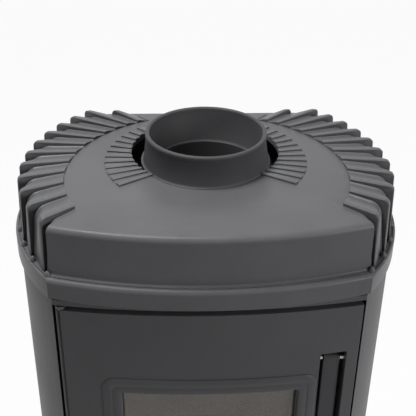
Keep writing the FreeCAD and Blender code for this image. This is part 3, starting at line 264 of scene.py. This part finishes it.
def sheet_paint(name, colour):
    """Thin heat-proof paint on rolled sheet, with faint long streaks."""
    paint = Finish(name)
    streak = paint.noise(40.0, 3.0, 0.6, paint.stretched(1.0, 1.0, 0.06))
    fine = paint.noise(1400.0, 2.0)
    return paint.set(base_color=paint.tint(streak, scaled(colour, 0.8), scaled(colour, 1.25)),
                     metallic=0.1, roughness=paint.between(streak, 0.3, 0.7, 0.42, 0.58),
                     normal=paint.bump(fine, 0.00006))


def machined_steel(name, colour):
    """Turned and ground steel with a light oil stain."""
    steel = Finish(name)
    stain = steel.noise(60.0, 4.0, 0.6)
    lines = steel.noise(500.0, 2.0, 0.5, steel.stretched(1.0, 1.0, 0.04))
    return steel.set(base_color=steel.tint(stain, scaled(colour, 0.62), scaled(colour, 1.15)),
                     metallic=1.0, roughness=steel.between(lines + stain * 0.4, 0.45, 0.95, 0.22, 0.42),
                     normal=steel.bump(lines, 0.00004))


def black_oxide(name, colour):
    """Black fasteners, rubbed a little brighter here and there."""
    oxide = Finish(name)
    rub = oxide.between(oxide.noise(300.0, 4.0, 0.7), 0.55, 0.75)
    return oxide.set(base_color=oxide.tint(rub, colour, (0.16, 0.155, 0.15)), metallic=0.55,
                     roughness=oxide.between(rub, 0.0, 1.0, 0.5, 0.34),
                     normal=oxide.bump(rub, 0.00004))


def raw_casting(name, colour):
    """Bare iron with heat scale and a rusty bloom."""
    iron = Finish(name)
    scale = iron.noise(70.0, 6.0, 0.65)
    bloom = iron.between(iron.noise(22.0, 5.0, 0.6), 0.5, 0.72)
    base = iron.tint(scale, scaled(colour, 0.6), scaled(colour, 1.35))
    return iron.set(base_color=iron.shaded(bloom * 0.45, base, (0.17, 0.085, 0.045)), metallic=0.35,
                    roughness=iron.between(scale, 0.3, 0.7, 0.6, 0.82),
                    normal=iron.bump(scale + iron.noise(700.0, 2.0) * 0.4, 0.0005))


def fire_board(name, colour):
    """Pressed vermiculite: golden flakes in a pale board, browned by the fire."""
    board = Finish(name)
    flakes = board.node("ShaderNodeTexVoronoi", {"feature": "F1"},
                        {"Vector": board.here, "Scale": 230.0}, out="Distance")
    shade = board.between(flakes, 0.1, 0.75)
    smoke = board.between(board.noise(9.0, 5.0, 0.6), 0.48, 0.72)
    base = board.tint(shade, scaled(colour, 0.72), scaled(colour, 1.16))
    return board.set(base_color=board.shaded(smoke * 0.55, base, (0.13, 0.095, 0.06)), metallic=0.0,
                     roughness=board.between(shade, 0.0, 1.0, 0.8, 0.94),
                     normal=board.bump(shade, 0.0006))


def knitted_rope(name, colour):
    """Glass-fibre rope: slanting strands with a fuzzy surface."""
    rope = Finish(name)
    across = rope.node("ShaderNodeVectorRotate", {"rotation_type": "AXIS_ANGLE"},
                       {"Vector": rope.here, "Axis": (0.0, 1.0, 0.0), "Angle": 0.8})
    strands = rope.node("ShaderNodeTexWave", {"wave_type": "BANDS", "bands_direction": "X"},
                        {"Vector": across, "Scale": 95.0, "Distortion": 1.6, "Detail": 2.0}, out="Fac")
    fuzz = rope.noise(1800.0, 2.0)
    return rope.set(base_color=rope.tint(strands, scaled(colour, 0.55), scaled(colour, 1.3)),
                    metallic=0.0, sheen_weight=0.3, roughness=rope.between(fuzz, 0.3, 0.7, 0.85, 0.97),
                    normal=rope.bump(strands + fuzz * 0.3, 0.0012))


def woven_tape(name, colour):
    """Flat glass-fibre tape with a fine weave."""
    tape = Finish(name)
    warp = tape.node("ShaderNodeTexWave", {"wave_type": "BANDS", "bands_direction": "X"},
                     {"Vector": tape.here, "Scale": 260.0}, out="Fac")
    weft = tape.node("ShaderNodeTexWave", {"wave_type": "BANDS", "bands_direction": "Z"},
                     {"Vector": tape.here, "Scale": 260.0}, out="Fac")
    weave = warp * 0.5 + weft * 0.5
    return tape.set(base_color=tape.tint(weave, scaled(colour, 0.7), scaled(colour, 1.1)),
                    metallic=0.0, roughness=tape.between(weave, 0.0, 1.0, 0.95, 0.82),
                    normal=tape.bump(weave, 0.0004))


def ceramic_glass(name):
    """Smoke-tinted curved glass with a light film of soot towards its lower edge."""
    glass = Finish(name)
    apart = glass.node("ShaderNodeSeparateXYZ", None, {"Vector": glass.here}, out="Z")
    film = glass.between(apart, 0.35, 0.5, 1.0, 0.0) * glass.between(glass.noise(16.0, 5.0, 0.6),
                                                                    0.35, 0.7)
    return glass.set(base_color=glass.tint(film, (0.42, 0.38, 0.33), (0.10, 0.085, 0.07)),
                     metallic=0.0, ior=1.54, transmission_weight=0.88,
                     roughness=glass.between(film, 0.0, 1.0, 0.02, 0.2))


FINISHES = {
    "cover_iron": cast_paint("cover_iron", (0.14, 0.14, 0.146)),
    "body_iron": cast_paint("body_iron", (0.105, 0.105, 0.11), 0.45),
    "collar_iron": cast_paint("collar_iron", (0.075, 0.075, 0.079), 0.5, 0.00014),
    "sheet_steel": sheet_paint("sheet_steel", (0.07, 0.07, 0.072)),
    "bare_steel": machined_steel("bare_steel", (0.42, 0.42, 0.43)),
    "black_bolt": black_oxide("black_bolt", (0.06, 0.06, 0.062)),
    "rope": knitted_rope("rope", (0.16, 0.155, 0.15)),
    "gasket": woven_tape("gasket", (0.55, 0.54, 0.50)),
    "glass": ceramic_glass("glass"),
    "brick": fire_board("brick", (0.58, 0.50, 0.38)),
    "raw_iron": raw_casting("raw_iron", (0.12, 0.11, 0.105)),
}


def slot_of(node):
    """The finish that the record gives a node."""
    return next(s["material_slot"] for s in frame["record"]["subparts"] if s["node"] == node)


for label, node in NODES.items():
    node.data.materials.clear()
    node.data.materials.append(FINISHES[slot_of(label)].material)


# ---------------------------------------------------------------- making pieces
def piece(name, bm, body, slot, replaces=(), crease=SHARP_ANGLE):
    """Turn a bmesh drawn in millimetres into a finished piece that moves with a body."""
    bmesh.ops.remove_doubles(bm, verts=bm.verts, dist=0.002)
    bmesh.ops.recalc_face_normals(bm, faces=bm.faces)
    bmesh.ops.scale(bm, vec=(0.001, 0.001, 0.001), verts=bm.verts)
    place(name, bm, body, slot, replaces, crease)


def place(name, bm, body, slot, replaces, crease):
    """Put a finished mesh into the scene, with its paint, its body and what it stands for."""
    for face in bm.faces:
        face.smooth = True
    mesh = bpy.data.meshes.new(name)
    bm.to_mesh(mesh)
    bm.free()
    mesh.set_sharp_from_angle(angle=math.radians(crease))
    mesh.materials.append(FINISHES[slot].material)
    obj = bpy.data.objects.new(name, mesh)
    bpy.context.scene.collection.objects.link(obj)
    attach(obj, body)
    if replaces:
        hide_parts(*replaces)
    return obj


def softened(node, width):
    """A casting or bar with its edges eased, made from a merged copy of its node."""
    bm = bmesh.new()
    bm.from_mesh(NODES[node].data)
    bmesh.ops.remove_doubles(bm, verts=bm.verts, dist=0.00001)
    bmesh.ops.dissolve_limit(bm, angle_limit=math.radians(FLAT_ANGLE), verts=bm.verts, edges=bm.edges)
    obj = place("soft_" + node, bm, NODES[node]["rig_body"], slot_of(node), (node,), SHARP_ANGLE)
    ease = obj.modifiers.new("eased_edges", "BEVEL")
    ease.width = width / 1000
    ease.segments = 2
    ease.limit_method = "ANGLE"
    ease.angle_limit = math.radians(SHARP_ANGLE)
    ease.use_clamp_overlap = False
    ease.harden_normals = True


def outline_edges(bm, points):
    """A closed outline through the points."""
    corners = [bm.verts.new(point) for point in points]
    for first, second in zip(corners, corners[1:] + corners[:1]):
        bm.edges.new((first, second))
    return corners


def loft(bm, sections, capped=True):
    """Extrude an outline through a row of outlines with as many corners; the ends are filled."""
    corners = outline_edges(bm, sections[0])
    if capped:
        bm.faces.new(corners)
    for section in sections[1:]:
        rim = [bm.edges.get((first, second)) for first, second in
               zip(corners, corners[1:] + corners[:1])]
        made = bmesh.ops.extrude_edge_only(bm, edges=rim)["geom"]
        fresh = {item for item in made if isinstance(item, bmesh.types.BMVert)}
        corners = [next(edge.other_vert(corner) for edge in corner.link_edges
                        if edge.other_vert(corner) in fresh) for corner in corners]
        for corner, point in zip(corners, section):
            corner.co = point
    if capped:
        bm.faces.new(corners)


def mirrored(bm):
    """Add the mirror image about the middle plane."""
    both = bmesh.ops.duplicate(bm, geom=bm.verts[:] + bm.edges[:] + bm.faces[:])["geom"]
    image = [item for item in both if isinstance(item, bmesh.types.BMVert)]
    bmesh.ops.scale(bm, vec=(-1.0, 1.0, 1.0), verts=image)


def turned(profile, centre):
    """Spin a closed profile of (radius, height) about an upright axis."""
    bm = bmesh.new()
    corners = outline_edges(bm, [(radius, 0.0, height) for radius, height in profile])
    bmesh.ops.spin(bm, geom=corners + bm.edges[:], cent=(0.0, 0.0, 0.0), axis=(0.0, 0.0, 1.0),
                   angle=2 * math.pi, steps=TURNED_STEPS, use_merge=True)
    bmesh.ops.translate(bm, vec=centre, verts=bm.verts)
    return bm


def arc(steps, start, end):
    """Angles from start to end, in radians."""
    return [math.radians(start + (end - start) * k / steps) for k in range(steps + 1)]


# ---------------------------------------------------------------- cover
def plan_points(side, front, rear, post=None):
    """The D-shaped plan from the right rear corner round the front; each argument is (inset, height).

    The post is the front corner, where the front's edge can stand further out than the side.
    """
    post = post or side
    radius = SIDE_RADIUS - post[0]
    bow = FRONT_RADIUS - front[0]
    rear_y = REAR_Y - rear[0]
    gap = FRONT_CENTRE_Y - SIDE_Y
    corner_dy = (radius ** 2 - bow ** 2 + gap ** 2) / (2 * gap)
    corner_x = math.sqrt(radius ** 2 - corner_dy ** 2)
    rear_angle = math.asin((rear_y - SIDE_Y) / (SIDE_RADIUS - side[0]))
    front_angle = math.asin(corner_dy / radius)
    bow_angle = math.asin(corner_x / bow)
    side_count, front_count, rear_count = 72, 64, 16
    flank = []
    for k in range(side_count + 1):
        angle = rear_angle + (front_angle - rear_angle) * k / side_count
        inset, height = post if k == side_count else side
        if k == 0:
            height = min(side[1], rear[1])
        if k == side_count:
            height = min(post[1], front[1])
        radius = SIDE_RADIUS - inset
        flank.append((radius * math.cos(angle), SIDE_Y + radius * math.sin(angle), height))
    face = []
    for k in range(1, front_count):
        angle = bow_angle * (1 - 2 * k / front_count)
        face.append((bow * math.sin(angle), FRONT_CENTRE_Y - bow * math.cos(angle), front[1]))
    other = [(-x, y, z) for x, y, z in reversed(flank)]
    rear_x = flank[0][0]
    back = [(-rear_x + 2 * rear_x * k / rear_count, rear_y, rear[1]) for k in range(1, rear_count)]
    return flank + face + other + back


def reach(angle, start_y, centre_y, radius):
    """Distance from a point on the middle line along a ray to a circle."""
    shift = start_y - centre_y
    along = shift * math.sin(angle)
    return -along + math.sqrt(along * along - shift * shift + radius * radius)


def opening_points(rim, height, grow):
    """The edge of the convection opening, one point for each point of the plan."""
    points = []
    for x, y, z in rim:
        angle = math.atan2(y - OPENING_MIDDLE_Y, x)
        wide = max(reach(angle, OPENING_MIDDLE_Y, PIT_Y, PIT_RADIUS + grow),
                   reach(angle, OPENING_MIDDLE_Y, FLUE_Y, NECK_RADIUS + grow))
        points.append((wide * math.cos(angle), OPENING_MIDDLE_Y + wide * math.sin(angle), height))
    return points


def rounded(inset, top, radius, turn):
    """A point on an edge's rounding: upright wall at 0, flat top at a quarter turn."""
    return inset + radius * (1 - math.cos(turn)), top - radius + radius * math.sin(turn)


def filleted(inset, turn):
    """A point on the hollow between flange and frieze: flat at 0, upright at a quarter turn."""
    return (inset + FILLET_WIDTH * math.sin(turn),
            FLANGE_TOP + FILLET_WIDTH - FILLET_HEIGHT * math.cos(turn))


def cover_shell():
    """Plate, frieze and flange as one skin, inside and out, open over the firebox top."""
    levels = [((FLANGE_CHAMFER, FLANGE_LOW),) * 3, ((0.0, FLANGE_LOW + FLANGE_CHAMFER),) * 3]
    for turn in arc(6, 0, 90):
        front = rounded(0.0, FLANGE_TOP, BULLNOSE, turn)
        levels.append((rounded(0.0, FLANGE_TOP, SIDE_EDGE, turn), front, (0.0, front[1])))
    for inset, lift in GROOVE:
        height = FLANGE_TOP + lift
        levels.append(((inset - BULLNOSE + SIDE_EDGE, height), (inset, height), (0.0, FLANGE_TOP)))
    for turn in arc(4, 0, 90):
        front = filleted(FILLET_FRONT, turn)
        levels.append((filleted(FILLET_SIDE, turn), front, (0.0, front[1]),
                       filleted(FILLET_POST, turn)))
    for turn in arc(8, 0, 90):
        levels.append((rounded(SIDE_INSET, PLATE_TOP, SIDE_BEND, turn),
                       rounded(FRONT_INSET, PLATE_TOP, FRONT_BEND, turn),
                       rounded(0.0, PLATE_TOP, REAR_BEND, turn),
                       rounded(POST_INSET, PLATE_TOP, FRONT_BEND, turn)))
    sections = [plan_points(*level) for level in levels]
    rim = sections[-1]
    opening = opening_points(rim, PLATE_TOP, OPENING_EDGE[0][0])
    sections.append([((x + hx) / 2, (y + hy) / 2, PLATE_TOP)
                     for (x, y, z), (hx, hy, hz) in zip(rim, opening)])
    for grow, drop in OPENING_EDGE + ((0.0, COVER_WALL),):
        sections.append(opening_points(rim, PLATE_TOP - drop, grow))
    for height in (PLATE_TOP - COVER_WALL, FLANGE_LOW):
        sections.append(plan_points((FIN_INSETS[0] + COVER_WALL, height),
                                    (FRONT_INSET + COVER_WALL, height), (COVER_WALL, height)))
    sections.append(sections[0])
    bm = bmesh.new()
    loft(bm, sections, capped=False)
    piece("cover_shell", bm, "root", "cover_iron", ("top_cover",), 28.0)


def blend(values, share):
    """Between a valley's value and a ridge's; share is 0 in a valley and 1 on a ridge."""
    valley, ridge = values
    return valley + (ridge - valley) * share


def fin_outline(angle, share, bead_top, bead_side):
    """A fin's upright outline along one ray from the fan's middle."""
    bend = blend(FIN_BENDS, share)
    rise = blend(FIN_OUTER_RISES, share)
    inner = reach(angle, FAN_Y, FAN_INNER_Y, FAN_INNER_RADIUS)
    outer = reach(angle, FAN_Y, SIDE_Y, SIDE_RADIUS - blend(FIN_INSETS, share) + bead_side)
    toe = outer + blend(FIN_TOES, share)
    if math.sin(angle) > 0:
        rear = (REAR_Y - REAR_GAP - FAN_Y) / math.sin(angle)
        outer, toe = min(outer, rear), min(toe, rear)
    line = [(inner, -FIN_ROOT), (inner, blend(FIN_INNER_RISES, share) + bead_top)]
    for turn in arc(7, 0, 90):
        line.append((outer - bend + bend * math.sin(turn),
                     rise - bend + (bend + bead_top) * math.cos(turn)))
    line += [(toe, FIN_FOOT), (outer - FIN_SKIN, FIN_FOOT), (outer - FIN_SKIN, -bend - FIN_ROOT),
             (outer - bend - FIN_KNEE, -FIN_ROOT)]
    return [(distance * math.cos(angle), FAN_Y + distance * math.sin(angle), PLATE_TOP + height)
            for distance, height in line]


# Each fin's steps: share of the pitch, valley or ridge, and the height of the bead.
FIN_STEP = [(0.0, 0.0, 0.0), (0.012, 0.0, 0.8), (0.045, 0.0, 1.35), (0.09, 0.0, 0.9),
            (0.125, 0.0, 0.0), (0.79, 0.96, 0.0), (0.82, 1.0, 0.0), (0.955, 1.0, 0.0),
            (0.985, 0.95, 0.0), (1.0, 0.86, 0.0)]
LAST_BEAD = [(0.0, 0.0), (0.015, 1.1), (0.05, 1.9), (0.1, 1.2), (0.15, 0.0)]


def cover_fans():
    """The two outer fans: facets that climb towards the front, each with a bead in its valley."""
    bm = bmesh.new()
    sections = []
    for number in range(FIN_COUNT):
        start = FIN_FIRST + FIN_PITCH * (1 - number)
        for along, share, bead in FIN_STEP:
            angle = math.radians(start - FIN_PITCH * along)
            sections.append(fin_outline(angle, share, bead, bead))
    last = FIN_FIRST + FIN_PITCH * (1 - FIN_COUNT)
    for along, bead in LAST_BEAD:
        angle = math.radians(last - FIN_PITCH * along)
        sections.append(fin_outline(angle, 0.0, 0.0, bead))
    loft(bm, sections)
    mirrored(bm)
    piece("cover_fans", bm, "root", "cover_iron", (), 24.0)


def cover_nubs():
    """Rounded ends of the valley beads where they run out on the flange."""
    bm = bmesh.new()
    for number in range(FIN_COUNT + 1):
        angle = math.radians(FIN_FIRST + FIN_PITCH * (1 - number - NUB_TURN))
        distance = reach(angle, FAN_Y, SIDE_Y, SIDE_RADIUS - NUB_INSET)
        if math.sin(angle) > 0 and distance * math.sin(angle) > REAR_Y - FAN_Y - NUB_REAR_CLEAR:
            continue
        nub = bmesh.ops.create_uvsphere(bm, u_segments=14, v_segments=9, radius=1.0)["verts"]
        bmesh.ops.scale(bm, vec=NUB_HALVES, verts=nub)
        bmesh.ops.rotate(bm, cent=(0, 0, 0), matrix=Matrix.Rotation(angle, 3, "Z"), verts=nub)
        middle = (distance * math.cos(angle), FAN_Y + distance * math.sin(angle),
                  FLANGE_TOP - NUB_DROP)
        bmesh.ops.translate(bm, verts=nub, vec=middle)
    mirrored(bm)
    piece("cover_nubs", bm, "root", "cover_iron", (), 60.0)


def tooth_outline(angle, share, bead):
    """A tooth's upright outline along one ray from the flue's axis."""
    rise = blend(TOOTH_RISES, share) + bead
    inner = reach(angle, FLUE_Y, PIT_Y, PIT_RADIUS) - TOOTH_LAP
    outer = TOOTH_OUTER_RADIUS
    line = [(inner, -FIN_ROOT), (inner, rise - 0.5), (inner + 0.5, rise), (outer - 1.6, rise),
            (outer - 0.5, rise - 0.45), (outer, rise - 1.5), (outer, -FIN_ROOT)]
    return [(distance * math.cos(angle), FLUE_Y + distance * math.sin(angle), PLATE_TOP + height)
            for distance, height in line]


# Each tooth's steps, in the same way.
TOOTH_STEP = [(0.0, 0.0, 0.0), (0.02, 0.0, 0.5), (0.08, 0.0, 0.85), (0.16, 0.0, 0.5),
              (0.2, 0.0, 0.0), (0.74, 1.0, 0.0), (0.93, 1.0, 0.0), (1.0, 0.8, 0.0)]


def cover_teeth():
    """The two inner fans of small teeth between the opening and the plate."""
    bm = bmesh.new()
    sections = []
    for number in range(TOOTH_COUNT):
        start = TOOTH_FIRST + TOOTH_PITCH * (1 - number)
        for along, share, bead in TOOTH_STEP:
            sections.append(tooth_outline(math.radians(start - TOOTH_PITCH * along), share, bead))
    last = TOOTH_FIRST + TOOTH_PITCH * (1 - TOOTH_COUNT)
    sections.append(tooth_outline(math.radians(last), 0.0, 0.0))
    loft(bm, sections)
    mirrored(bm)
    piece("cover_teeth", bm, "root", "cover_iron", (), 24.0)


def flue_collar():
    """The turned collar: flange, tapering neck, rounded rim and the ledge in its bore."""
    low, step = COLLAR_LOW, COLLAR_LOW + COLLAR_FLANGE
    profile = [(THROAT_RADIUS, low), (FLANGE_RADIUS - 0.8, low), (FLANGE_RADIUS, low + 0.8),
               (FLANGE_RADIUS, step - 0.8), (FLANGE_RADIUS - 0.8, step),
               (NECK_OUTER + 2.0, step), (NECK_OUTER, step + 2.0), (NECK_OUTER, PLATE_TOP - 1.0)]
    for turn in arc(4, 0, 90):
        profile.append((NECK_OUTER + 3.0 - BEAD_RADIUS * math.sin(turn),
                        PLATE_TOP + 3.6 - BEAD_RADIUS * math.cos(turn)))
    profile += [(79.8, 914.0), (80.3, 915.0), (81.0, 917.0)]
    for turn in arc(4, 0, 90):
        profile.append((81.0 - RIM_RADIUS + RIM_RADIUS * math.cos(turn),
                        RIM_HEIGHT + RIM_RADIUS * math.sin(turn)))
    for turn in arc(4, 90, 0):
        profile.append((BORE_RADIUS + RIM_RADIUS - RIM_RADIUS * math.cos(turn),
                        RIM_HEIGHT + RIM_RADIUS * math.sin(turn)))
    profile += [(BORE_RADIUS, LEDGE_HEIGHT + 1.0), (BORE_RADIUS - 0.8, LEDGE_HEIGHT),
                (THROAT_RADIUS + 1.0, LEDGE_HEIGHT), (THROAT_RADIUS, LEDGE_HEIGHT - 1.0)]
    piece("collar", turned(profile, (0.0, FLUE_Y, 0.0)), "root", "collar_iron", ("flue_collar",), 40.0)


cover_shell()
cover_fans()
cover_nubs()
cover_teeth()
flue_collar()


# ---------------------------------------------------------------- door and eased castings
def bowed_rectangle(half, low, high, corner, proud):
    """A rounded rectangle that follows the bow of the front, standing proud of the door."""
    bow = DOOR_RADIUS + proud
    flat = []
    for centre_x, centre_z, start in ((half - corner, high - corner, 90),
                                      (half - corner, low + corner, 0),
                                      (corner - half, low + corner, -90),
                                      (corner - half, high - corner, -180)):
        for turn in arc(6, start, start - 90):
            flat.append((centre_x + corner * math.cos(turn), centre_z + corner * math.sin(turn)))
    points = []
    for (x, z), (next_x, next_z) in zip(flat, flat[1:] + flat[:1]):
        long_run = math.hypot(next_x - x, next_z - z) > 2 * corner
        for k in range(MOULDING_STEPS if long_run else 1):
            px = x + (next_x - x) * k / MOULDING_STEPS
            pz = z + (next_z - z) * k / MOULDING_STEPS
            points.append((px, DOOR_CENTRE_Y - math.sqrt(bow * bow - px * px), pz))
    return points


def door_moulding():
    """The raised surround of the window."""
    sections = [bowed_rectangle(WINDOW_HALF + grow, WINDOW_LOW - grow, WINDOW_HIGH + grow,
                                corner, proud) for grow, corner, proud in MOULDING]
    bm = bmesh.new()
    loft(bm, sections + sections[:1], capped=False)
    piece("door_moulding", bm, "door", "body_iron", (), 30.0)


# How wide the eased edges are, in millimetres.
EASED = {
    "door": 1.2, "top_rail": 0.8, "drawer_front": 1.2, "front_apron": 1.2, "right_side": 1.2,
    "left_side": 1.2, "back_plate": 1.0, "base_plate": 2.0, "plinth": 1.5, "heat_shield": 0.5,
    "hearth_plate": 0.8, "log_guard": 1.2, "fire_grate": 0.8, "brick_left": 1.2,
    "brick_right": 1.2, "brick_back": 1.2, "baffle_board": 1.2, "door_lever": 1.6, "ash_pan": 0.4,
    "hinge_upper": 0.4, "hinge_lower": 0.4, "levelling_feet": 0.8, "air_knob": 0.8,
    "air_spigot": 0.6, "latch_keeper": 0.4,
}

door_moulding()
for label, width in EASED.items():
    softened(label, width)


# ---------------------------------------------------------------- room, light and camera
def shown_white(tree):
    """1 for the rays that show the room: from the camera, off metal and through glass."""
    rays = tree.nodes.new("ShaderNodeLightPath")
    total = rays.outputs["Is Camera Ray"]
    for kind in ("Is Glossy Ray", "Is Transmission Ray"):
        either = tree.nodes.new("ShaderNodeMath")
        either.operation = "MAXIMUM"
        tree.links.new(total, either.inputs[0])
        tree.links.new(rays.outputs[kind], either.inputs[1])
        total = either.outputs[0]
    return total


def floor_paint():
    """A pale matt surface that reads as white, with the shadows on it kept faintly."""
    paint = bpy.data.materials.new("pale_floor")
    paint.use_nodes = True
    tree = paint.node_tree
    shader = tree.nodes["Principled BSDF"]
    shader.inputs["Base Color"].default_value = (FLOOR_GREY, FLOOR_GREY, FLOOR_GREY, 1.0)
    shader.inputs["Roughness"].default_value = 0.9
    glow = tree.nodes.new("ShaderNodeEmission")
    glow.inputs["Strength"].default_value = FLOOR_GLOW
    mix = tree.nodes.new("ShaderNodeMixShader")
    share = tree.nodes.new("ShaderNodeMath")
    share.operation = "MULTIPLY"
    share.inputs[1].default_value = GLOW_SHARE
    tree.links.new(shown_white(tree), share.inputs[0])
    tree.links.new(share.outputs[0], mix.inputs[0])
    tree.links.new(shader.outputs[0], mix.inputs[1])
    tree.links.new(glow.outputs[0], mix.inputs[2])
    tree.links.new(mix.outputs[0], tree.nodes["Material Output"].inputs[0])
    return paint


def floor_and_world():
    """The pale floor, and a dim world that shows as white where the room is seen."""
    bm = bmesh.new()
    bmesh.ops.create_grid(bm, x_segments=1, y_segments=1, size=9.0)
    mesh = bpy.data.meshes.new("floor")
    bm.to_mesh(mesh)
    bm.free()
    mesh.materials.append(floor_paint())
    floor = bpy.data.objects.new("floor", mesh)
    bpy.context.scene.collection.objects.link(floor)
    world = bpy.data.worlds.new("studio")
    bpy.context.scene.world = world
    world.use_nodes = True
    tree = world.node_tree
    ground = tree.nodes["Background"]
    ground.inputs["Color"].default_value = WORLD_COLOUR
    ground.inputs["Strength"].default_value = WORLD_STRENGTH
    white = tree.nodes.new("ShaderNodeBackground")
    white.inputs["Strength"].default_value = 1.0
    white.inputs["Color"].default_value = (1.0, 1.0, 1.0, 1.0)
    mix = tree.nodes.new("ShaderNodeMixShader")
    tree.links.new(shown_white(tree), mix.inputs[0])
    tree.links.new(ground.outputs[0], mix.inputs[1])
    tree.links.new(white.outputs[0], mix.inputs[2])
    tree.links.new(mix.outputs[0], tree.nodes["World Output"].inputs[0])


def softbox(name, stand, aim, wide, high, power):
    """A rectangular lamp that looks at a point."""
    lamp = bpy.data.lights.new(name, "AREA")
    lamp.shape = "RECTANGLE"
    lamp.size = wide
    lamp.size_y = high
    lamp.energy = power
    obj = bpy.data.objects.new(name, lamp)
    obj.location = stand
    obj.rotation_euler = (Vector(aim) - Vector(stand)).to_track_quat("-Z", "Y").to_euler()
    bpy.context.scene.collection.objects.link(obj)


def camera():
    """A long lens above and in front, rolled a little."""
    lens = bpy.data.cameras.new("camera")
    lens.lens = LENS
    lens.sensor_width = SENSOR_WIDTH
    lens.clip_end = CAMERA_REACH
    obj = bpy.data.objects.new("camera", lens)
    turn = (Vector(CAMERA_TARGET) - Vector(CAMERA_STAND)).to_track_quat("-Z", "Y").to_matrix()
    roll = Matrix.Rotation(math.radians(CAMERA_ROLL), 3, "Z")
    obj.matrix_world = Matrix.Translation(CAMERA_STAND) @ (turn @ roll).to_4x4()
    bpy.context.scene.collection.objects.link(obj)
    bpy.context.scene.camera = obj


floor_and_world()
softbox("top_light", (-0.4, 0.0, 2.15), (0.0, -0.05, 0.85), wide=0.6, high=0.4, power=18.0)
softbox("front_right_light", (1.9, -1.5, 1.5), (0.0, -0.1, 0.75), wide=0.9, high=0.7,
        power=22.0)
camera()

scene = bpy.context.scene
scene.view_settings.view_transform = "Standard"
